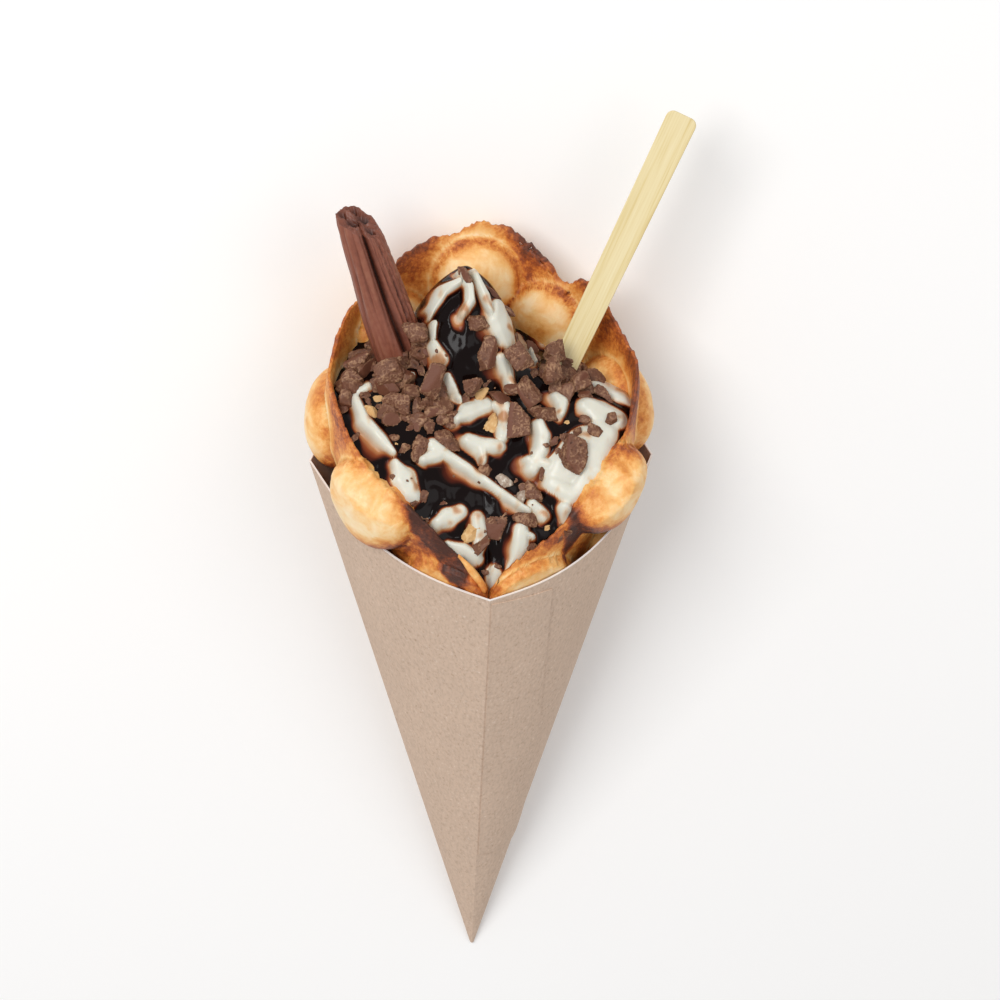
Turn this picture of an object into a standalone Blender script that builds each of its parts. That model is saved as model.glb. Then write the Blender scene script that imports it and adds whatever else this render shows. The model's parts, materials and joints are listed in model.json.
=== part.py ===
"""A bubble waffle rolled into a folded board cone and filled with soft-serve cream, chocolate chunks,
a flaky chocolate stick and a flat bamboo stick. It lies on the pressed back ridge of the cone, with the
front ridge up, the mouth towards -Y and the tip towards +Y.

Everything is shaped in an upright frame and laid down by one parent empty: the tip of the cone is at the
origin, +Z runs up its axis, -Y is the front, and an angle of 0 is the front, growing towards +X."""

import math
import random

import bpy
import bmesh
from mathutils import Matrix, Vector
from mathutils.bvhtree import BVHTree

# Folded board cone
CORNER_SLOPE = 0.2746  # distance of a ridge from the axis, for each metre of height
BACK_SLOPE = 0.2165  # the same for the pressed back strip, on which the cone lies
SIDE_RIDGE_HEIGHT = 0.234
RIM_TILT = 0.461  # the rim drops towards the front
BOARD = 0.0006
TIP_HEIGHT = 0.006
RIGHT_BOW = 0.056  # how far a panel bows outwards, for each metre of height
LEFT_BOW = 0.047
BACK_BOW = 0.030
PANEL_STEPS = 12
FLAP_START = 0.0006  # distance from the front ridge
FLAP_WIDTH = 0.024
FLAP_TOP = 0.2055
FLAP_BOTTOM = 0.060
FLAP_PROUD = 0.0005
FLAP_STEPS = 6

# Rolled waffle
WEB = 0.0026
WAFFLE_BOTTOM = 0.125
FRONT_RIM = 0.206
BACK_RIM = 0.308
RIM_POWER = 0.62
RIM_WAVE = 0.0016
RIM_WAVES = 9
NOTCH_DEPTH = 0.006
NOTCH_ANGLE = 140
NOTCH_WIDTH = 6
FRONT_DIPS = ((0.0085, 30, 22), (0.002, -20, 13))  # of the rim: depth, angle and width in degrees
DOME = 0.0100
SIDE_RADIUS = 0.0555
SIDE_HEIGHT = 0.245
WAFFLE_SLOPE = 0.30
BACK_TAPER = 0.14  # how much narrower the roll is behind than at its sides
FLARE = 0.04  # how much the roll widens again above SIDE_HEIGHT
FRONT_SPREAD = 0.008  # how far the lower front reaches out towards the front ridge
FRONT_SPREAD_WIDTH = 22
BOARD_ROOM = 0.0040  # between the middle of the web and the board, for the domes
BACK_ROOM = 0.0060
BACK_ROOM_ABOVE = 0.0105  # the same where the board has ended
RIM_ROOM = 0.0075  # the domes stay inside the board up to this height above its rim
AROUND = 64
LOWER_ROWS = 13
UPPER_ROWS = 6
CLEAR = 0.0005
# Each row of cells: height of the centres, radius of a cell, angles in degrees
CELL_ROWS = (
    (0.284, 0.0175, (180,)),
    (0.268, 0.0175, (-138, 147)),
    (0.248, 0.0165, (180,)),
    (0.246, 0.0200, (-103, 107)),
    (0.235, 0.0184, (-52,)),
    (0.237, 0.0190, (56,)),
    (0.228, 0.0165, (-146, 141)),
    (0.211, 0.0165, (-77, 78, -176)),
    (0.2015, 0.0175, (-21, 22)),
    (0.196, 0.0155, (-112, 112)),
    (0.180, 0.0150, (-50, 50, 180)),
    (0.172, 0.0140, (0, -92, 92, -140, 140)),
    (0.150, 0.0120, (-40, 40, -110, 110, 180)),
)

# Cream
PEAK = Vector((-0.006, 0.016, 0.306))
CREAM_BELOW_RIM = 0.006
# Dips of the cream's edge: depth, angle and width in degrees
BACK_DIP = (0.042, 180, 36)
RIGHT_DIP = (0.014, 108, 24)
LEFT_DIP = (0.010, -118, 20)
DIPS = (BACK_DIP, RIGHT_DIP, LEFT_DIP)
TOP_RINGS = 8
CREAM_FIRST_ROW = 4
RIDGE_PITCH = 0.021
RIDGE_HEIGHT = 0.0022
RIDGE_LEAN = math.radians(33)
FACING = Vector((0.0, -0.794, 0.608)).normalized()  # the way the open side of the heap faces
RIGHT = Vector((1, 0, 0))
UP_THE_HEAP = FACING.cross(RIGHT)

# Sticks: middle of the lower end, middle of the upper end
FLAKE_ENDS = (Vector((-0.0245, 0.0087, 0.254)), Vector((-0.0457, 0.0198, 0.3243)))
FLAKE_RADIUS = 0.0095
FLAKE_SIDES = 20
FLAKE_ROWS = 8
PICK_ENDS = (Vector((0.0205, 0.0030, 0.246)), Vector((0.0740, 0.0346, 0.3574)))
PICK_WIDTH = 0.0118
PICK_LOWER_WIDTH = 0.0092
PICK_THICKNESS = 0.0018
PICK_CORNER = 0.0028
GAP = 0.0004

# Chocolate chunks: place to the right of the peak and down the face, length, width, thickness,
# turn in degrees
CHUNKS = (
    (0.0040, 0.0205, 0.0090, 0.0078, 0.0055, 10),
    (0.0060, 0.0325, 0.0140, 0.0090, 0.0050, 80),
    (0.0005, 0.0440, 0.0085, 0.0070, 0.0055, 60),
    (0.0185, 0.0345, 0.0110, 0.0085, 0.0060, 120),
    (0.0330, 0.0315, 0.0090, 0.0080, 0.0060, 30),
    (0.0300, 0.0385, 0.0110, 0.0085, 0.0060, 110),
    (-0.0290, 0.0380, 0.0110, 0.0095, 0.0070, 15),
    (-0.0265, 0.0500, 0.0110, 0.0085, 0.0065, 170),
    (-0.0135, 0.0425, 0.0140, 0.0080, 0.0050, 75),
    (-0.0390, 0.0325, 0.0110, 0.0090, 0.0065, 45),
    (-0.0190, 0.0240, 0.0100, 0.0085, 0.0060, 0),
    (-0.0425, 0.0400, 0.0085, 0.0080, 0.0065, 20),
    (-0.0085, 0.0645, 0.0110, 0.0090, 0.0060, 165),
    (-0.0190, 0.0670, 0.0100, 0.0075, 0.0060, 55),
    (0.0178, 0.0575, 0.0150, 0.0090, 0.0050, 85),
    (0.0290, 0.0545, 0.0110, 0.0060, 0.0050, 175),
    (0.0375, 0.0700, 0.0130, 0.0120, 0.0080, 60),
    (0.0230, 0.0836, 0.0090, 0.0070, 0.0055, 150),
    (0.0085, 0.0935, 0.0140, 0.0090, 0.0050, 75),
    (0.0200, 0.0935, 0.0110, 0.0055, 0.0045, 175),
)
CHUNK_POINTS = 16
CHUNK_GAP = 0.0009
SEED = 7


def at(angle, radius, height):
    return Vector((radius * math.sin(angle), -radius * math.cos(angle), height))


def smoothest(values, softness=0.0016):
    """The smallest of the values, with the change from one to another rounded off."""
    least = min(values)
    return least - softness * math.log(sum(math.exp((least - value) / softness) for value in values))


def ramp(value, start, end):
    """0 up to the start and 1 from the end on."""
    return min(1, max(0, (value - start) / (end - start)))


def board_slope(angle):
    """Radius of the board's outer face for each metre of height: four bowed panels and the back strip."""
    angle = math.remainder(angle, math.tau)
    panel = CORNER_SLOPE / math.sqrt(2)
    if abs(angle) < math.pi / 2:
        turn = abs(angle) - math.pi / 4
        bow = RIGHT_BOW if angle > 0 else LEFT_BOW
    else:
        turn = abs(angle) - 3 * math.pi / 4
        bow = BACK_BOW
    across = (1 + math.tan(turn)) / 2
    slope = panel / math.cos(turn) + bow * math.sin(math.pi * across)
    if math.cos(angle) < 0:
        slope = min(slope, BACK_SLOPE / -math.cos(angle))
    return slope


def board_rim(angle):
    return SIDE_RIDGE_HEIGHT / (1 + RIM_TILT * board_slope(angle) * math.cos(angle))


def bump(angle, middle, width):
    """1 at the middle, in degrees, falling to 0 on either side of it."""
    away = math.degrees(math.remainder(angle - math.radians(middle), math.tau))
    return math.exp(-((away / width) ** 2))


def waffle_rim(angle):
    share = abs(math.remainder(angle, math.tau)) / math.pi
    wave = RIM_WAVE * math.sin(RIM_WAVES * angle + 0.6) * min(1, 4 * share)
    notch = NOTCH_DEPTH * bump(angle, NOTCH_ANGLE, NOTCH_WIDTH)
    dips = sum(depth * bump(angle, middle, width) for depth, middle, width in FRONT_DIPS)
    return FRONT_RIM + (BACK_RIM - FRONT_RIM) * share**RIM_POWER + wave - notch - dips


def cream_edge(angle):
    """Height at which the cream meets the waffle: just below the rim, lower behind and at both sides."""
    dips = sum(depth * bump(angle, middle, width) for depth, middle, width in DIPS)
    return waffle_rim(angle) - CREAM_BELOW_RIM - dips


def even_edge(angle):
    """The cream's edge with its dips rounded off, which the ridged top follows."""
    nearby = [angle + math.radians(12) * step for step in range(-2, 3)]
    return sum(cream_edge(other) for other in nearby) / len(nearby)


def middle_radius(angle, height):
    """Radius of the middle of the waffle's web: a cone that fits the board and stands clear of the floor."""
    free = SIDE_RADIUS - WAFFLE_SLOPE * max(0, SIDE_HEIGHT - height) + FLARE * max(0, height - SIDE_HEIGHT)
    free *= 1 - BACK_TAPER * max(0, -math.cos(angle))
    free += FRONT_SPREAD * bump(angle, 0, FRONT_SPREAD_WIDTH) * ramp(height, 0.235, 0.205)
    above = max(0, height - board_rim(angle))
    held = board_slope(angle) * height - BOARD_ROOM + 2 * above
    limits = [free, held]
    if math.cos(angle) < -0.2:
        room = BACK_ROOM + (BACK_ROOM_ABOVE - BACK_ROOM) * ramp(height, 0.240, 0.275)
        limits.append((BACK_SLOPE * height - room) / -math.cos(angle))
    closing = math.sqrt(ramp(height, WAFFLE_BOTTOM - 0.001, WAFFLE_BOTTOM + 0.019))
    return smoothest(limits) * closing


def dome_share(angle, height):
    """How far the surface stands out at this place, from 0 on the web to 1 on top of a cell."""
    share = 0
    for row_height, cell_radius, degrees in CELL_ROWS:
        up = (height - row_height) * 1.03
        if abs(up) > cell_radius:
            continue
        for degree in degrees:
            turn = math.remainder(angle - math.radians(degree), math.tau)
            sideways = turn * middle_radius(math.radians(degree), row_height)
            reach = math.hypot(sideways, up) / cell_radius
            if reach < 1:
                share = max(share, (1 - reach**2.2) ** 0.6)
    return share


def outer_radius(angle, height):
    radius = middle_radius(angle, height) + WEB / 2 + DOME * dome_share(angle, height)
    above = max(0, height - board_rim(angle) - RIM_ROOM)
    limit = board_slope(angle) * height - BOARD * 1.1 - CLEAR + 1.3 * above
    if math.cos(angle) < 0:
        limit = min(limit, (BACK_SLOPE * height - BOARD - CLEAR) / -math.cos(angle))
    return min(radius, limit)


def inner_radius(angle, height):
    rise = DOME * dome_share(angle, height) * min(1, middle_radius(angle, height) / 0.030)
    return middle_radius(angle, height) - WEB / 2 - rise


def row_height(angle, row):
    """Height of a row of the waffle's grid: lower rows end at the cream's edge, upper ones at the rim."""
    edge = cream_edge(angle)
    if row <= LOWER_ROWS:
        share = row / LOWER_ROWS
        return WAFFLE_BOTTOM + (edge - WAFFLE_BOTTOM) * (1 - (1 - share) ** 1.45)
    return edge + (waffle_rim(angle) - edge) * (row - LOWER_ROWS) / UPPER_ROWS


def angles_around():
    return [math.tau * step / AROUND - math.pi for step in range(AROUND)]


def material(name, colour, roughness):
    made = bpy.data.materials.new(name)
    made.use_nodes = True
    shader = made.node_tree.nodes["Principled BSDF"]
    shader.inputs["Base Color"].default_value = (*colour, 1)
    shader.inputs["Roughness"].default_value = roughness
    shader.inputs["Metallic"].default_value = 0
    return made


def add_object(name, bm, root, finish=None, smooth=True):
    mesh = bpy.data.meshes.new(name)
    bmesh.ops.recalc_face_normals(bm, faces=bm.faces)
    bm.to_mesh(mesh)
    bm.free()
    made = bpy.data.objects.new(name, mesh)
    bpy.context.collection.objects.link(made)
    made.parent = root
    if finish:
        mesh.materials.append(finish)
    if smooth:
        mesh.shade_smooth()
        mesh.set_sharp_from_angle(angle=math.radians(40))
    return made


def as_guide(made):
    made.hide_render = True
    made.display_type = "WIRE"
    return made


def add_rings(bm, rings, turned_from=10**6):
    """Joins rings of points with triangles and caps both ends. From one ring on, the diagonals run the other
    way, so that a skin whose rings run down matches a neighbour's whose rings run up."""
    loops = [[bm.verts.new(point) for point in ring] for ring in rings]
    for index, (lower, upper) in enumerate(zip(loops, loops[1:])):
        for step, corner in enumerate(lower):
            after = (step + 1) % len(lower)
            if index < turned_from:
                bm.faces.new((corner, lower[after], upper[after]))
                bm.faces.new((corner, upper[after], upper[step]))
            else:
                bm.faces.new((corner, lower[after], upper[step]))
                bm.faces.new((lower[after], upper[after], upper[step]))
    bm.faces.new(loops[0])
    bm.faces.new(loops[-1])
    return loops


def add_board_cone(root):
    """Square cone of board, open at the mouth, with the glued flap on its front right panel."""
    back_corner = math.pi - math.atan((CORNER_SLOPE - BACK_SLOPE) / BACK_SLOPE)
    ridges = [-back_corner, -math.pi / 2, 0, math.pi / 2, back_corner]
    angles = []
    for start, end in zip(ridges, ridges[1:]):
        angles += [start + (end - start) * step / PANEL_STEPS for step in range(PANEL_STEPS)]
    angles.append(back_corner)
    bm = bmesh.new()
    tip = [bm.verts.new(at(angle, board_slope(angle) * TIP_HEIGHT, TIP_HEIGHT)) for angle in angles]
    edge = [(angle, board_rim(angle)) for angle in angles]
    rim = [bm.verts.new(at(angle, board_slope(angle) * height, height)) for angle, height in edge]
    for step, corner in enumerate(tip):
        after = (step + 1) % len(tip)
        bm.faces.new((corner, tip[after], rim[after], rim[step]))
    bm.faces.new(tip)
    cone = add_object("paper_cone", bm, root, material("kraft board", (0.56, 0.40, 0.28), 0.85))
    wall = cone.modifiers.new("board", "SOLIDIFY")
    wall.thickness = BOARD
    wall.offset = -1
    wall.use_even_offset = True
    join = cone.modifiers.new("flap", "BOOLEAN")
    join.operation = "UNION"
    join.object = add_flap(root)
    return cone


def add_flap(root):
    """The glued flap: a thin plate on the board's outer face, beside the front ridge."""
    bm = bmesh.new()
    layers = []
    for proud in (-BOARD / 2, FLAP_PROUD):
        layer = []
        for row in range(FLAP_STEPS + 1):
            height = FLAP_BOTTOM + (FLAP_TOP - FLAP_BOTTOM) * row / FLAP_STEPS
            line = []
            for column in range(FLAP_STEPS + 1):
                across = FLAP_START + (FLAP_WIDTH - FLAP_START) * column / FLAP_STEPS
                angle = across / (height * 0.25)
                line.append(bm.verts.new(at(angle, board_slope(angle) * height + proud, height)))
            layer.append(line)
        layers.append(layer)
    inner, outer = layers
    steps = range(FLAP_STEPS)
    for row in steps:
        for column in steps:
            for layer in layers:
                low, high = layer[row], layer[row + 1]
                bm.faces.new((low[column], low[column + 1], high[column + 1], high[column]))
    for end in (0, FLAP_STEPS):
        for step in steps:
            bm.faces.new((inner[step][end], inner[step + 1][end], outer[step + 1][end], outer[step][end]))
            bm.faces.new((inner[end][step], inner[end][step + 1], outer[end][step + 1], outer[end][step]))
    return as_guide(add_object("flap_guide", bm, root))


def add_waffle(root):
    """The rolled sheet: an outer skin up to the rim and an inner skin back down, both with domes."""
    last = LOWER_ROWS + UPPER_ROWS
    outside = [(outer_radius, row) for row in range(last + 1)]
    inside = [(inner_radius, row) for row in range(last, 0, -1)]
    rings = []
    for radius, row in outside + inside:
        places = [(angle, row_height(angle, row)) for angle in angles_around()]
        rings.append([at(angle, radius(angle, height), height) for angle, height in places])
    bm = bmesh.new()
    add_rings(bm, rings, turned_from=last)
    return add_object("waffle", bm, root, material("waffle crust", (0.80, 0.50, 0.20), 0.6))


def ridge(point):
    """Height of the piped ridges, which run down to the right across the open side of the heap."""
    away = point - PEAK
    across = away.dot(RIGHT) * math.sin(RIDGE_LEAN) + away.dot(UP_THE_HEAP) * math.cos(RIDGE_LEAN)
    return RIDGE_HEIGHT * math.cos(math.tau * across / RIDGE_PITCH)


def add_cream(root, cutters):
    """One body of cream: its side follows the waffle's inner skin, its top is a ridged heap with a peak."""
    rings = []
    for row in range(CREAM_FIRST_ROW, LOWER_ROWS + 1):
        ring = []
        for angle in angles_around():
            height = row_height(angle, row)
            ring.append(at(angle, inner_radius(angle, height) - CLEAR, height))
        rings.append(ring)
    edge = rings[-1]
    for step in range(TOP_RINGS - 1, 0, -1):
        share = step / TOP_RINGS
        ring = []
        for angle, corner in zip(angles_around(), edge):
            height = even_edge(angle)
            even = at(angle, middle_radius(angle, height) - DOME / 2, height).lerp(corner, share**5)
            point = PEAK.lerp(even, share)
            point.z = PEAK.z + (even.z - PEAK.z) * share ** (0.90 + 0.25 * math.cos(angle))
            ring.append(point + FACING * ridge(point) * math.sin(math.pi * share) ** 0.7)
        rings.append(ring)
    bm = bmesh.new()
    loops = add_rings(bm, rings)
    cap = next(face for face in bm.faces if len(face.verts) > 4 and loops[-1][0] in face.verts)
    bmesh.ops.poke(bm, faces=[cap])
    bm.verts.ensure_lookup_table()
    bm.verts[-1].co = PEAK
    cream = add_object("cream", bm, root, material("soft-serve cream", (0.86, 0.82, 0.72), 0.4))
    for cutter in cutters:
        cut = cream.modifiers.new(cutter.name, "BOOLEAN")
        cut.operation = "DIFFERENCE"
        cut.object = cutter
    return cream


def stick_frame(ends):
    """Matrix that stands a shape on the lower end, its +Z along the stick and its -Y to the front."""
    along = (ends[1] - ends[0]).normalized()
    sideways = along.cross(FACING).normalized() * -1
    back = along.cross(sideways)
    return Matrix.Translation(ends[0]) @ Matrix((sideways, back, along)).transposed().to_4x4()


def flake_ring(share, radius, wobble):
    """One ring of the folded chocolate stick, whose folds lean as they run along it."""
    length = (FLAKE_ENDS[1] - FLAKE_ENDS[0]).length
    ring = []
    for side in range(FLAKE_SIDES):
        turn = math.tau * side / FLAKE_SIDES
        fold = 0.10 * math.cos(5 * turn + 2.4 * share) + 0.06 * math.cos(3 * turn - 1.2 * share)
        out = radius * (1 + wobble * fold)
        uneven = wobble * 0.0016 * share**3 * math.cos(2 * turn + 0.8)
        ring.append(Vector((out * math.cos(turn), out * math.sin(turn), length * share + uneven)))
    return ring


def add_flake(root):
    bm = bmesh.new()
    add_rings(bm, [flake_ring(row / FLAKE_ROWS, FLAKE_RADIUS, 1) for row in range(FLAKE_ROWS + 1)])
    bmesh.ops.transform(bm, matrix=stick_frame(FLAKE_ENDS), verts=bm.verts)
    finish = material("flaked milk chocolate", (0.11, 0.045, 0.03), 0.55)
    return add_object("chocolate_flake", bm, root, finish)


def add_flake_cutter(root):
    bm = bmesh.new()
    radius = FLAKE_RADIUS * 1.16 + GAP
    add_rings(bm, [flake_ring(share, radius, 0) for share in (-0.01, 1.2)])
    bmesh.ops.transform(bm, matrix=stick_frame(FLAKE_ENDS), verts=bm.verts)
    return as_guide(add_object("flake_cutter", bm, root))


def pick_outline(length, grow):
    """Outline of the flat stick, seen from the front: it widens upwards and has rounded upper corners."""
    low = PICK_LOWER_WIDTH / 2 + grow
    high = PICK_WIDTH / 2 + grow
    outline = [(-low, -grow), (low, -grow)]
    for side, start in ((1, 0), (-1, 90)):
        middle = Vector((side * (high - PICK_CORNER), length - PICK_CORNER))
        for turn in range(start, start + 91, 15):
            away = Vector((math.cos(math.radians(turn)), math.sin(math.radians(turn))))
            outline.append(middle + away * PICK_CORNER)
    return outline


def add_pick(name, root, grow, finish=None):
    length = (PICK_ENDS[1] - PICK_ENDS[0]).length
    half = PICK_THICKNESS / 2 + grow
    outline = pick_outline(length, grow)
    bm = bmesh.new()
    add_rings(bm, [[Vector((x, y, z)) for x, z in outline] for y in (-half, half)])
    bmesh.ops.transform(bm, matrix=stick_frame(PICK_ENDS), verts=bm.verts)
    return add_object(name, bm, root, finish)


def surface_below(tree, point):
    hit, normal, _, _ = tree.ray_cast(point + FACING * 0.2, -FACING)
    return hit, normal


def lying_on(normal):
    """Matrix whose +Z is the normal and whose +X runs to the right of the heap."""
    across = (RIGHT - normal * RIGHT.dot(normal)).normalized()
    return Matrix((across, normal.cross(across), normal)).transposed().to_4x4()


def lift_clear(bm, tree, corners):
    """How far the shape has to move along the way the heap faces, to lie just clear of the cream."""
    lift = -1.0
    for vert in bm.verts:
        below, _ = surface_below(tree, vert.co)
        if below:
            lift = max(lift, (below - vert.co).dot(FACING) + CHUNK_GAP)
    shape = BVHTree.FromBMesh(bm)
    for corner in corners:
        above = shape.ray_cast(corner - FACING * 0.1, FACING)[0]
        if above:
            lift = max(lift, (corner - above).dot(FACING) + CHUNK_GAP)
    return lift


def add_chunk(number, place, root, tree, corners, finish):
    """An angular broken piece, set down on the cream along the way the heap faces."""
    sideways, down, length, width, thickness, turn = place
    dice = random.Random(SEED + number)
    bm = bmesh.new()
    for _ in range(CHUNK_POINTS):
        point = Vector([dice.uniform(-1, 1) for _ in range(3)])
        point /= max(abs(value) for value in point) ** 0.6
        bm.verts.new((point.x * length / 2, point.y * width / 2, point.z * thickness / 2))
    hull = bmesh.ops.convex_hull(bm, input=bm.verts)
    spare = [item for item in hull["geom_interior"] if isinstance(item, bmesh.types.BMVert)]
    bmesh.ops.delete(bm, geom=spare, context="VERTS")
    hit, normal = surface_below(tree, PEAK + RIGHT * sideways - UP_THE_HEAP * down)
    lie = lying_on((normal + FACING).normalized())
    spin = Matrix.Rotation(math.radians(turn), 4, "Z")
    bmesh.ops.transform(bm, matrix=Matrix.Translation(hit + FACING * thickness) @ lie @ spin, verts=bm.verts)
    bmesh.ops.recalc_face_normals(bm, faces=bm.faces)
    bmesh.ops.translate(bm, vec=FACING * lift_clear(bm, tree, corners), verts=bm.verts)
    return add_object(f"chunk_{number + 1:02d}", bm, root, finish, smooth=False)


def settle(root, pieces):
    """Moves the object so that its box stands on the floor, centred on the origin."""
    bpy.context.view_layer.update()
    graph = bpy.context.evaluated_depsgraph_get()
    points = []
    for piece in pieces:
        shape = piece.evaluated_get(graph)
        points += [shape.matrix_world @ vertex.co for vertex in shape.data.vertices]
    low = Vector([min(point[axis] for point in points) for axis in range(3)])
    high = Vector([max(point[axis] for point in points) for axis in range(3)])
    root.location -= Vector(((low.x + high.x) / 2, (low.y + high.y) / 2, low.z))


def main():
    for old in list(bpy.data.objects):
        bpy.data.objects.remove(old, do_unlink=True)
    root = bpy.data.objects.new("lying_down", None)
    bpy.context.collection.objects.link(root)
    root.rotation_euler = (math.atan(BACK_SLOPE) - math.pi / 2, 0, math.pi)
    pieces = [add_board_cone(root), add_waffle(root)]
    pieces.append(add_flake(root))
    pieces.append(add_pick("bamboo_stick", root, 0, material("bamboo", (0.80, 0.68, 0.42), 0.6)))
    cutters = [add_flake_cutter(root), as_guide(add_pick("pick_cutter", root, GAP))]
    cream = add_cream(root, cutters)
    pieces.append(cream)
    bpy.context.view_layer.update()
    graph = bpy.context.evaluated_depsgraph_get()
    tree = BVHTree.FromObject(cream, graph)
    corners = [vertex.co.copy() for vertex in cream.evaluated_get(graph).data.vertices]
    chunk_finish = material("broken milk chocolate", (0.16, 0.075, 0.05), 0.7)
    for number, place in enumerate(CHUNKS):
        pieces.append(add_chunk(number, place, root, tree, corners, chunk_finish))
    settle(root, pieces)


main()
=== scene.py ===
import json
import math
import random

import bmesh
import bpy
import numpy as np
from mathutils import Matrix, Vector, noise
from mathutils.bvhtree import BVHTree

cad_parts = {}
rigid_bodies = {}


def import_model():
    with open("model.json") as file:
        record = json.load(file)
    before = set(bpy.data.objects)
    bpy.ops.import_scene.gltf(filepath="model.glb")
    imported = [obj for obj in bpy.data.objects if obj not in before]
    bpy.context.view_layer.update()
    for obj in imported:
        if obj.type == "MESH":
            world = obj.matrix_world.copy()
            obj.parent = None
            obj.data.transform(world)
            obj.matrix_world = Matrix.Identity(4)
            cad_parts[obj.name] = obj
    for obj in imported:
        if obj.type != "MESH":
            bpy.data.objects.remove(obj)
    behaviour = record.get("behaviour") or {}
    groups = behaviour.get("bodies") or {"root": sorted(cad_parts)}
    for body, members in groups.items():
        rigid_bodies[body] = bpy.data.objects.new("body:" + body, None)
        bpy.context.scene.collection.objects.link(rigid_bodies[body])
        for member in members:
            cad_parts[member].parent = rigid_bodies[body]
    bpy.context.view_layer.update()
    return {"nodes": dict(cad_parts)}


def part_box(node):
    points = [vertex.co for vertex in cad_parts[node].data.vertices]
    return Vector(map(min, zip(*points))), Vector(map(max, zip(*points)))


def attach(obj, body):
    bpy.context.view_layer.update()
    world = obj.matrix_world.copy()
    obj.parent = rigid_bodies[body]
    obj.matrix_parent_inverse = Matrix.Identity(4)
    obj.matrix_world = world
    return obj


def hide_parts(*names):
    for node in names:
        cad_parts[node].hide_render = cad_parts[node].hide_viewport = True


# A bubble waffle rolled into a folded board cone, filled with soft-serve cream, chocolate sauce, broken
# chocolate and biscuit, a flaky chocolate stick and a bamboo stick. Shapes are worked out in an upright frame
# (metres: the cone's tip at the origin, +Z up its axis, -Y the front, angle 0 the front, growing towards +X)
# and laid down on the cone's back ridge by layDown.

for startupObject in list(bpy.data.objects):
    bpy.data.objects.remove(startupObject, do_unlink=True)

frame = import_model()
print("frame loaded")

lie = {
    "backSlope": 0.2165,  # distance of the pressed back strip from the axis, for each metre of height
    "tipHeight": 0.006,  # the tip is cut off here
    "ridgeSlope": 0.2746,  # distance of a ridge from the axis, for each metre of height
}
leanAngle = math.atan(lie["backSlope"])
coneLow, coneHigh = (Vector(corner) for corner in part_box("paper_cone"))
tipAhead = lie["tipHeight"] * (math.cos(leanAngle) - lie["ridgeSlope"] * math.sin(leanAngle))
rootPlace = Vector(((coneLow.x + coneHigh.x) / 2, coneHigh.y + tipAhead, 0))
rootTurn = Matrix(
    (
        (-1, 0, 0),
        (0, -math.sin(leanAngle), -math.cos(leanAngle)),
        (0, -math.cos(leanAngle), math.sin(leanAngle)),
    )
)
layDownMatrix = Matrix.Translation(rootPlace) @ rootTurn.to_4x4()


def layDown(points):
    # upright points, one in a row, to the frame
    return points @ np.array(rootTurn).T + np.array(rootPlace)


def linear(hexColour, alpha=1.0):
    # sRGB hex to the linear values that a socket takes
    values = [int(hexColour[i : i + 2], 16) / 255 for i in (1, 3, 5)]
    return (*[v / 12.92 if v <= 0.04045 else ((v + 0.055) / 1.055) ** 2.4 for v in values], alpha)


def setInputs(tree, node, inputs):
    # each input is either another node's output or a plain value for the socket
    for socket, source in inputs.items():
        if isinstance(source, bpy.types.NodeSocket):
            tree.links.new(source, node.inputs[socket])
        else:
            node.inputs[socket].default_value = source


def addNode(tree, kind, inputs=None, **settings):
    made = tree.nodes.new("ShaderNode" + kind)
    for name, value in settings.items():
        setattr(made, name, value)
    setInputs(tree, made, inputs or {})
    return made


def lumpScale(millimetres):
    # the scale of a noise whose lumps are about so wide
    return 1000 / millimetres


def fillRamp(rampNode, stops):
    ramp = rampNode.color_ramp
    while len(ramp.elements) < len(stops):
        ramp.elements.new(0.5)
    for element, (place, colour) in zip(ramp.elements, stops):
        element.position = place
        element.color = linear(colour) if isinstance(colour, str) else (colour, colour, colour, 1)
    return rampNode.outputs["Color"]


def newMaterial(name):
    made = bpy.data.materials.new(name)
    made.use_nodes = True
    return made, made.node_tree, made.node_tree.nodes["Principled BSDF"]


def applyModifier(piece, kind, **settings):
    bpy.context.view_layer.objects.active = piece
    modifier = piece.modifiers.new(kind.lower(), kind)
    for name, value in settings.items():
        setattr(modifier, name, value)
    bpy.ops.object.modifier_apply(modifier=modifier.name)


def editMode(piece):
    bpy.ops.object.select_all(action="DESELECT")
    piece.select_set(True)
    bpy.context.view_layer.objects.active = piece
    bpy.ops.object.mode_set(mode="EDIT")
    bpy.ops.mesh.select_all(action="DESELECT")


def objectMode():
    bpy.ops.object.mode_set(mode="OBJECT")
    bpy.ops.object.select_all(action="DESELECT")


def selectWhere(piece, kind, wanted):
    # in edit mode; kind is edges or faces
    mesh = bmesh.from_edit_mesh(piece.data)
    for part in getattr(mesh, kind):
        part.select = bool(wanted(part))
    bmesh.update_edit_mesh(piece.data)


def turnOutwards():
    # in edit mode
    bpy.ops.mesh.select_all(action="SELECT")
    bpy.ops.mesh.normals_make_consistent(inside=False)


def mergeCorners(piece, threshold=0.00001):
    editMode(piece)
    bpy.ops.mesh.select_all(action="SELECT")
    bpy.ops.mesh.remove_doubles(threshold=threshold)
    turnOutwards()
    objectMode()


def corners(piece):
    flat = np.empty(len(piece.data.vertices) * 3)
    piece.data.vertices.foreach_get("co", flat)
    return flat.reshape(-1, 3)


def moveCorners(piece, points):
    piece.data.vertices.foreach_set("co", np.ascontiguousarray(points, dtype=np.float64).ravel())
    piece.data.update()


def addGrid(name, columns, rows):
    # a plane grid whose x and y run from 0 to 1
    bpy.ops.object.select_all(action="DESELECT")
    bpy.ops.mesh.primitive_grid_add(x_subdivisions=columns, y_subdivisions=rows, size=1, location=(0, 0, 0))
    piece = bpy.context.active_object
    piece.name = name
    piece.data.name = name
    moveCorners(piece, corners(piece) + np.array((0.5, 0.5, 0)))
    return piece


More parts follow.
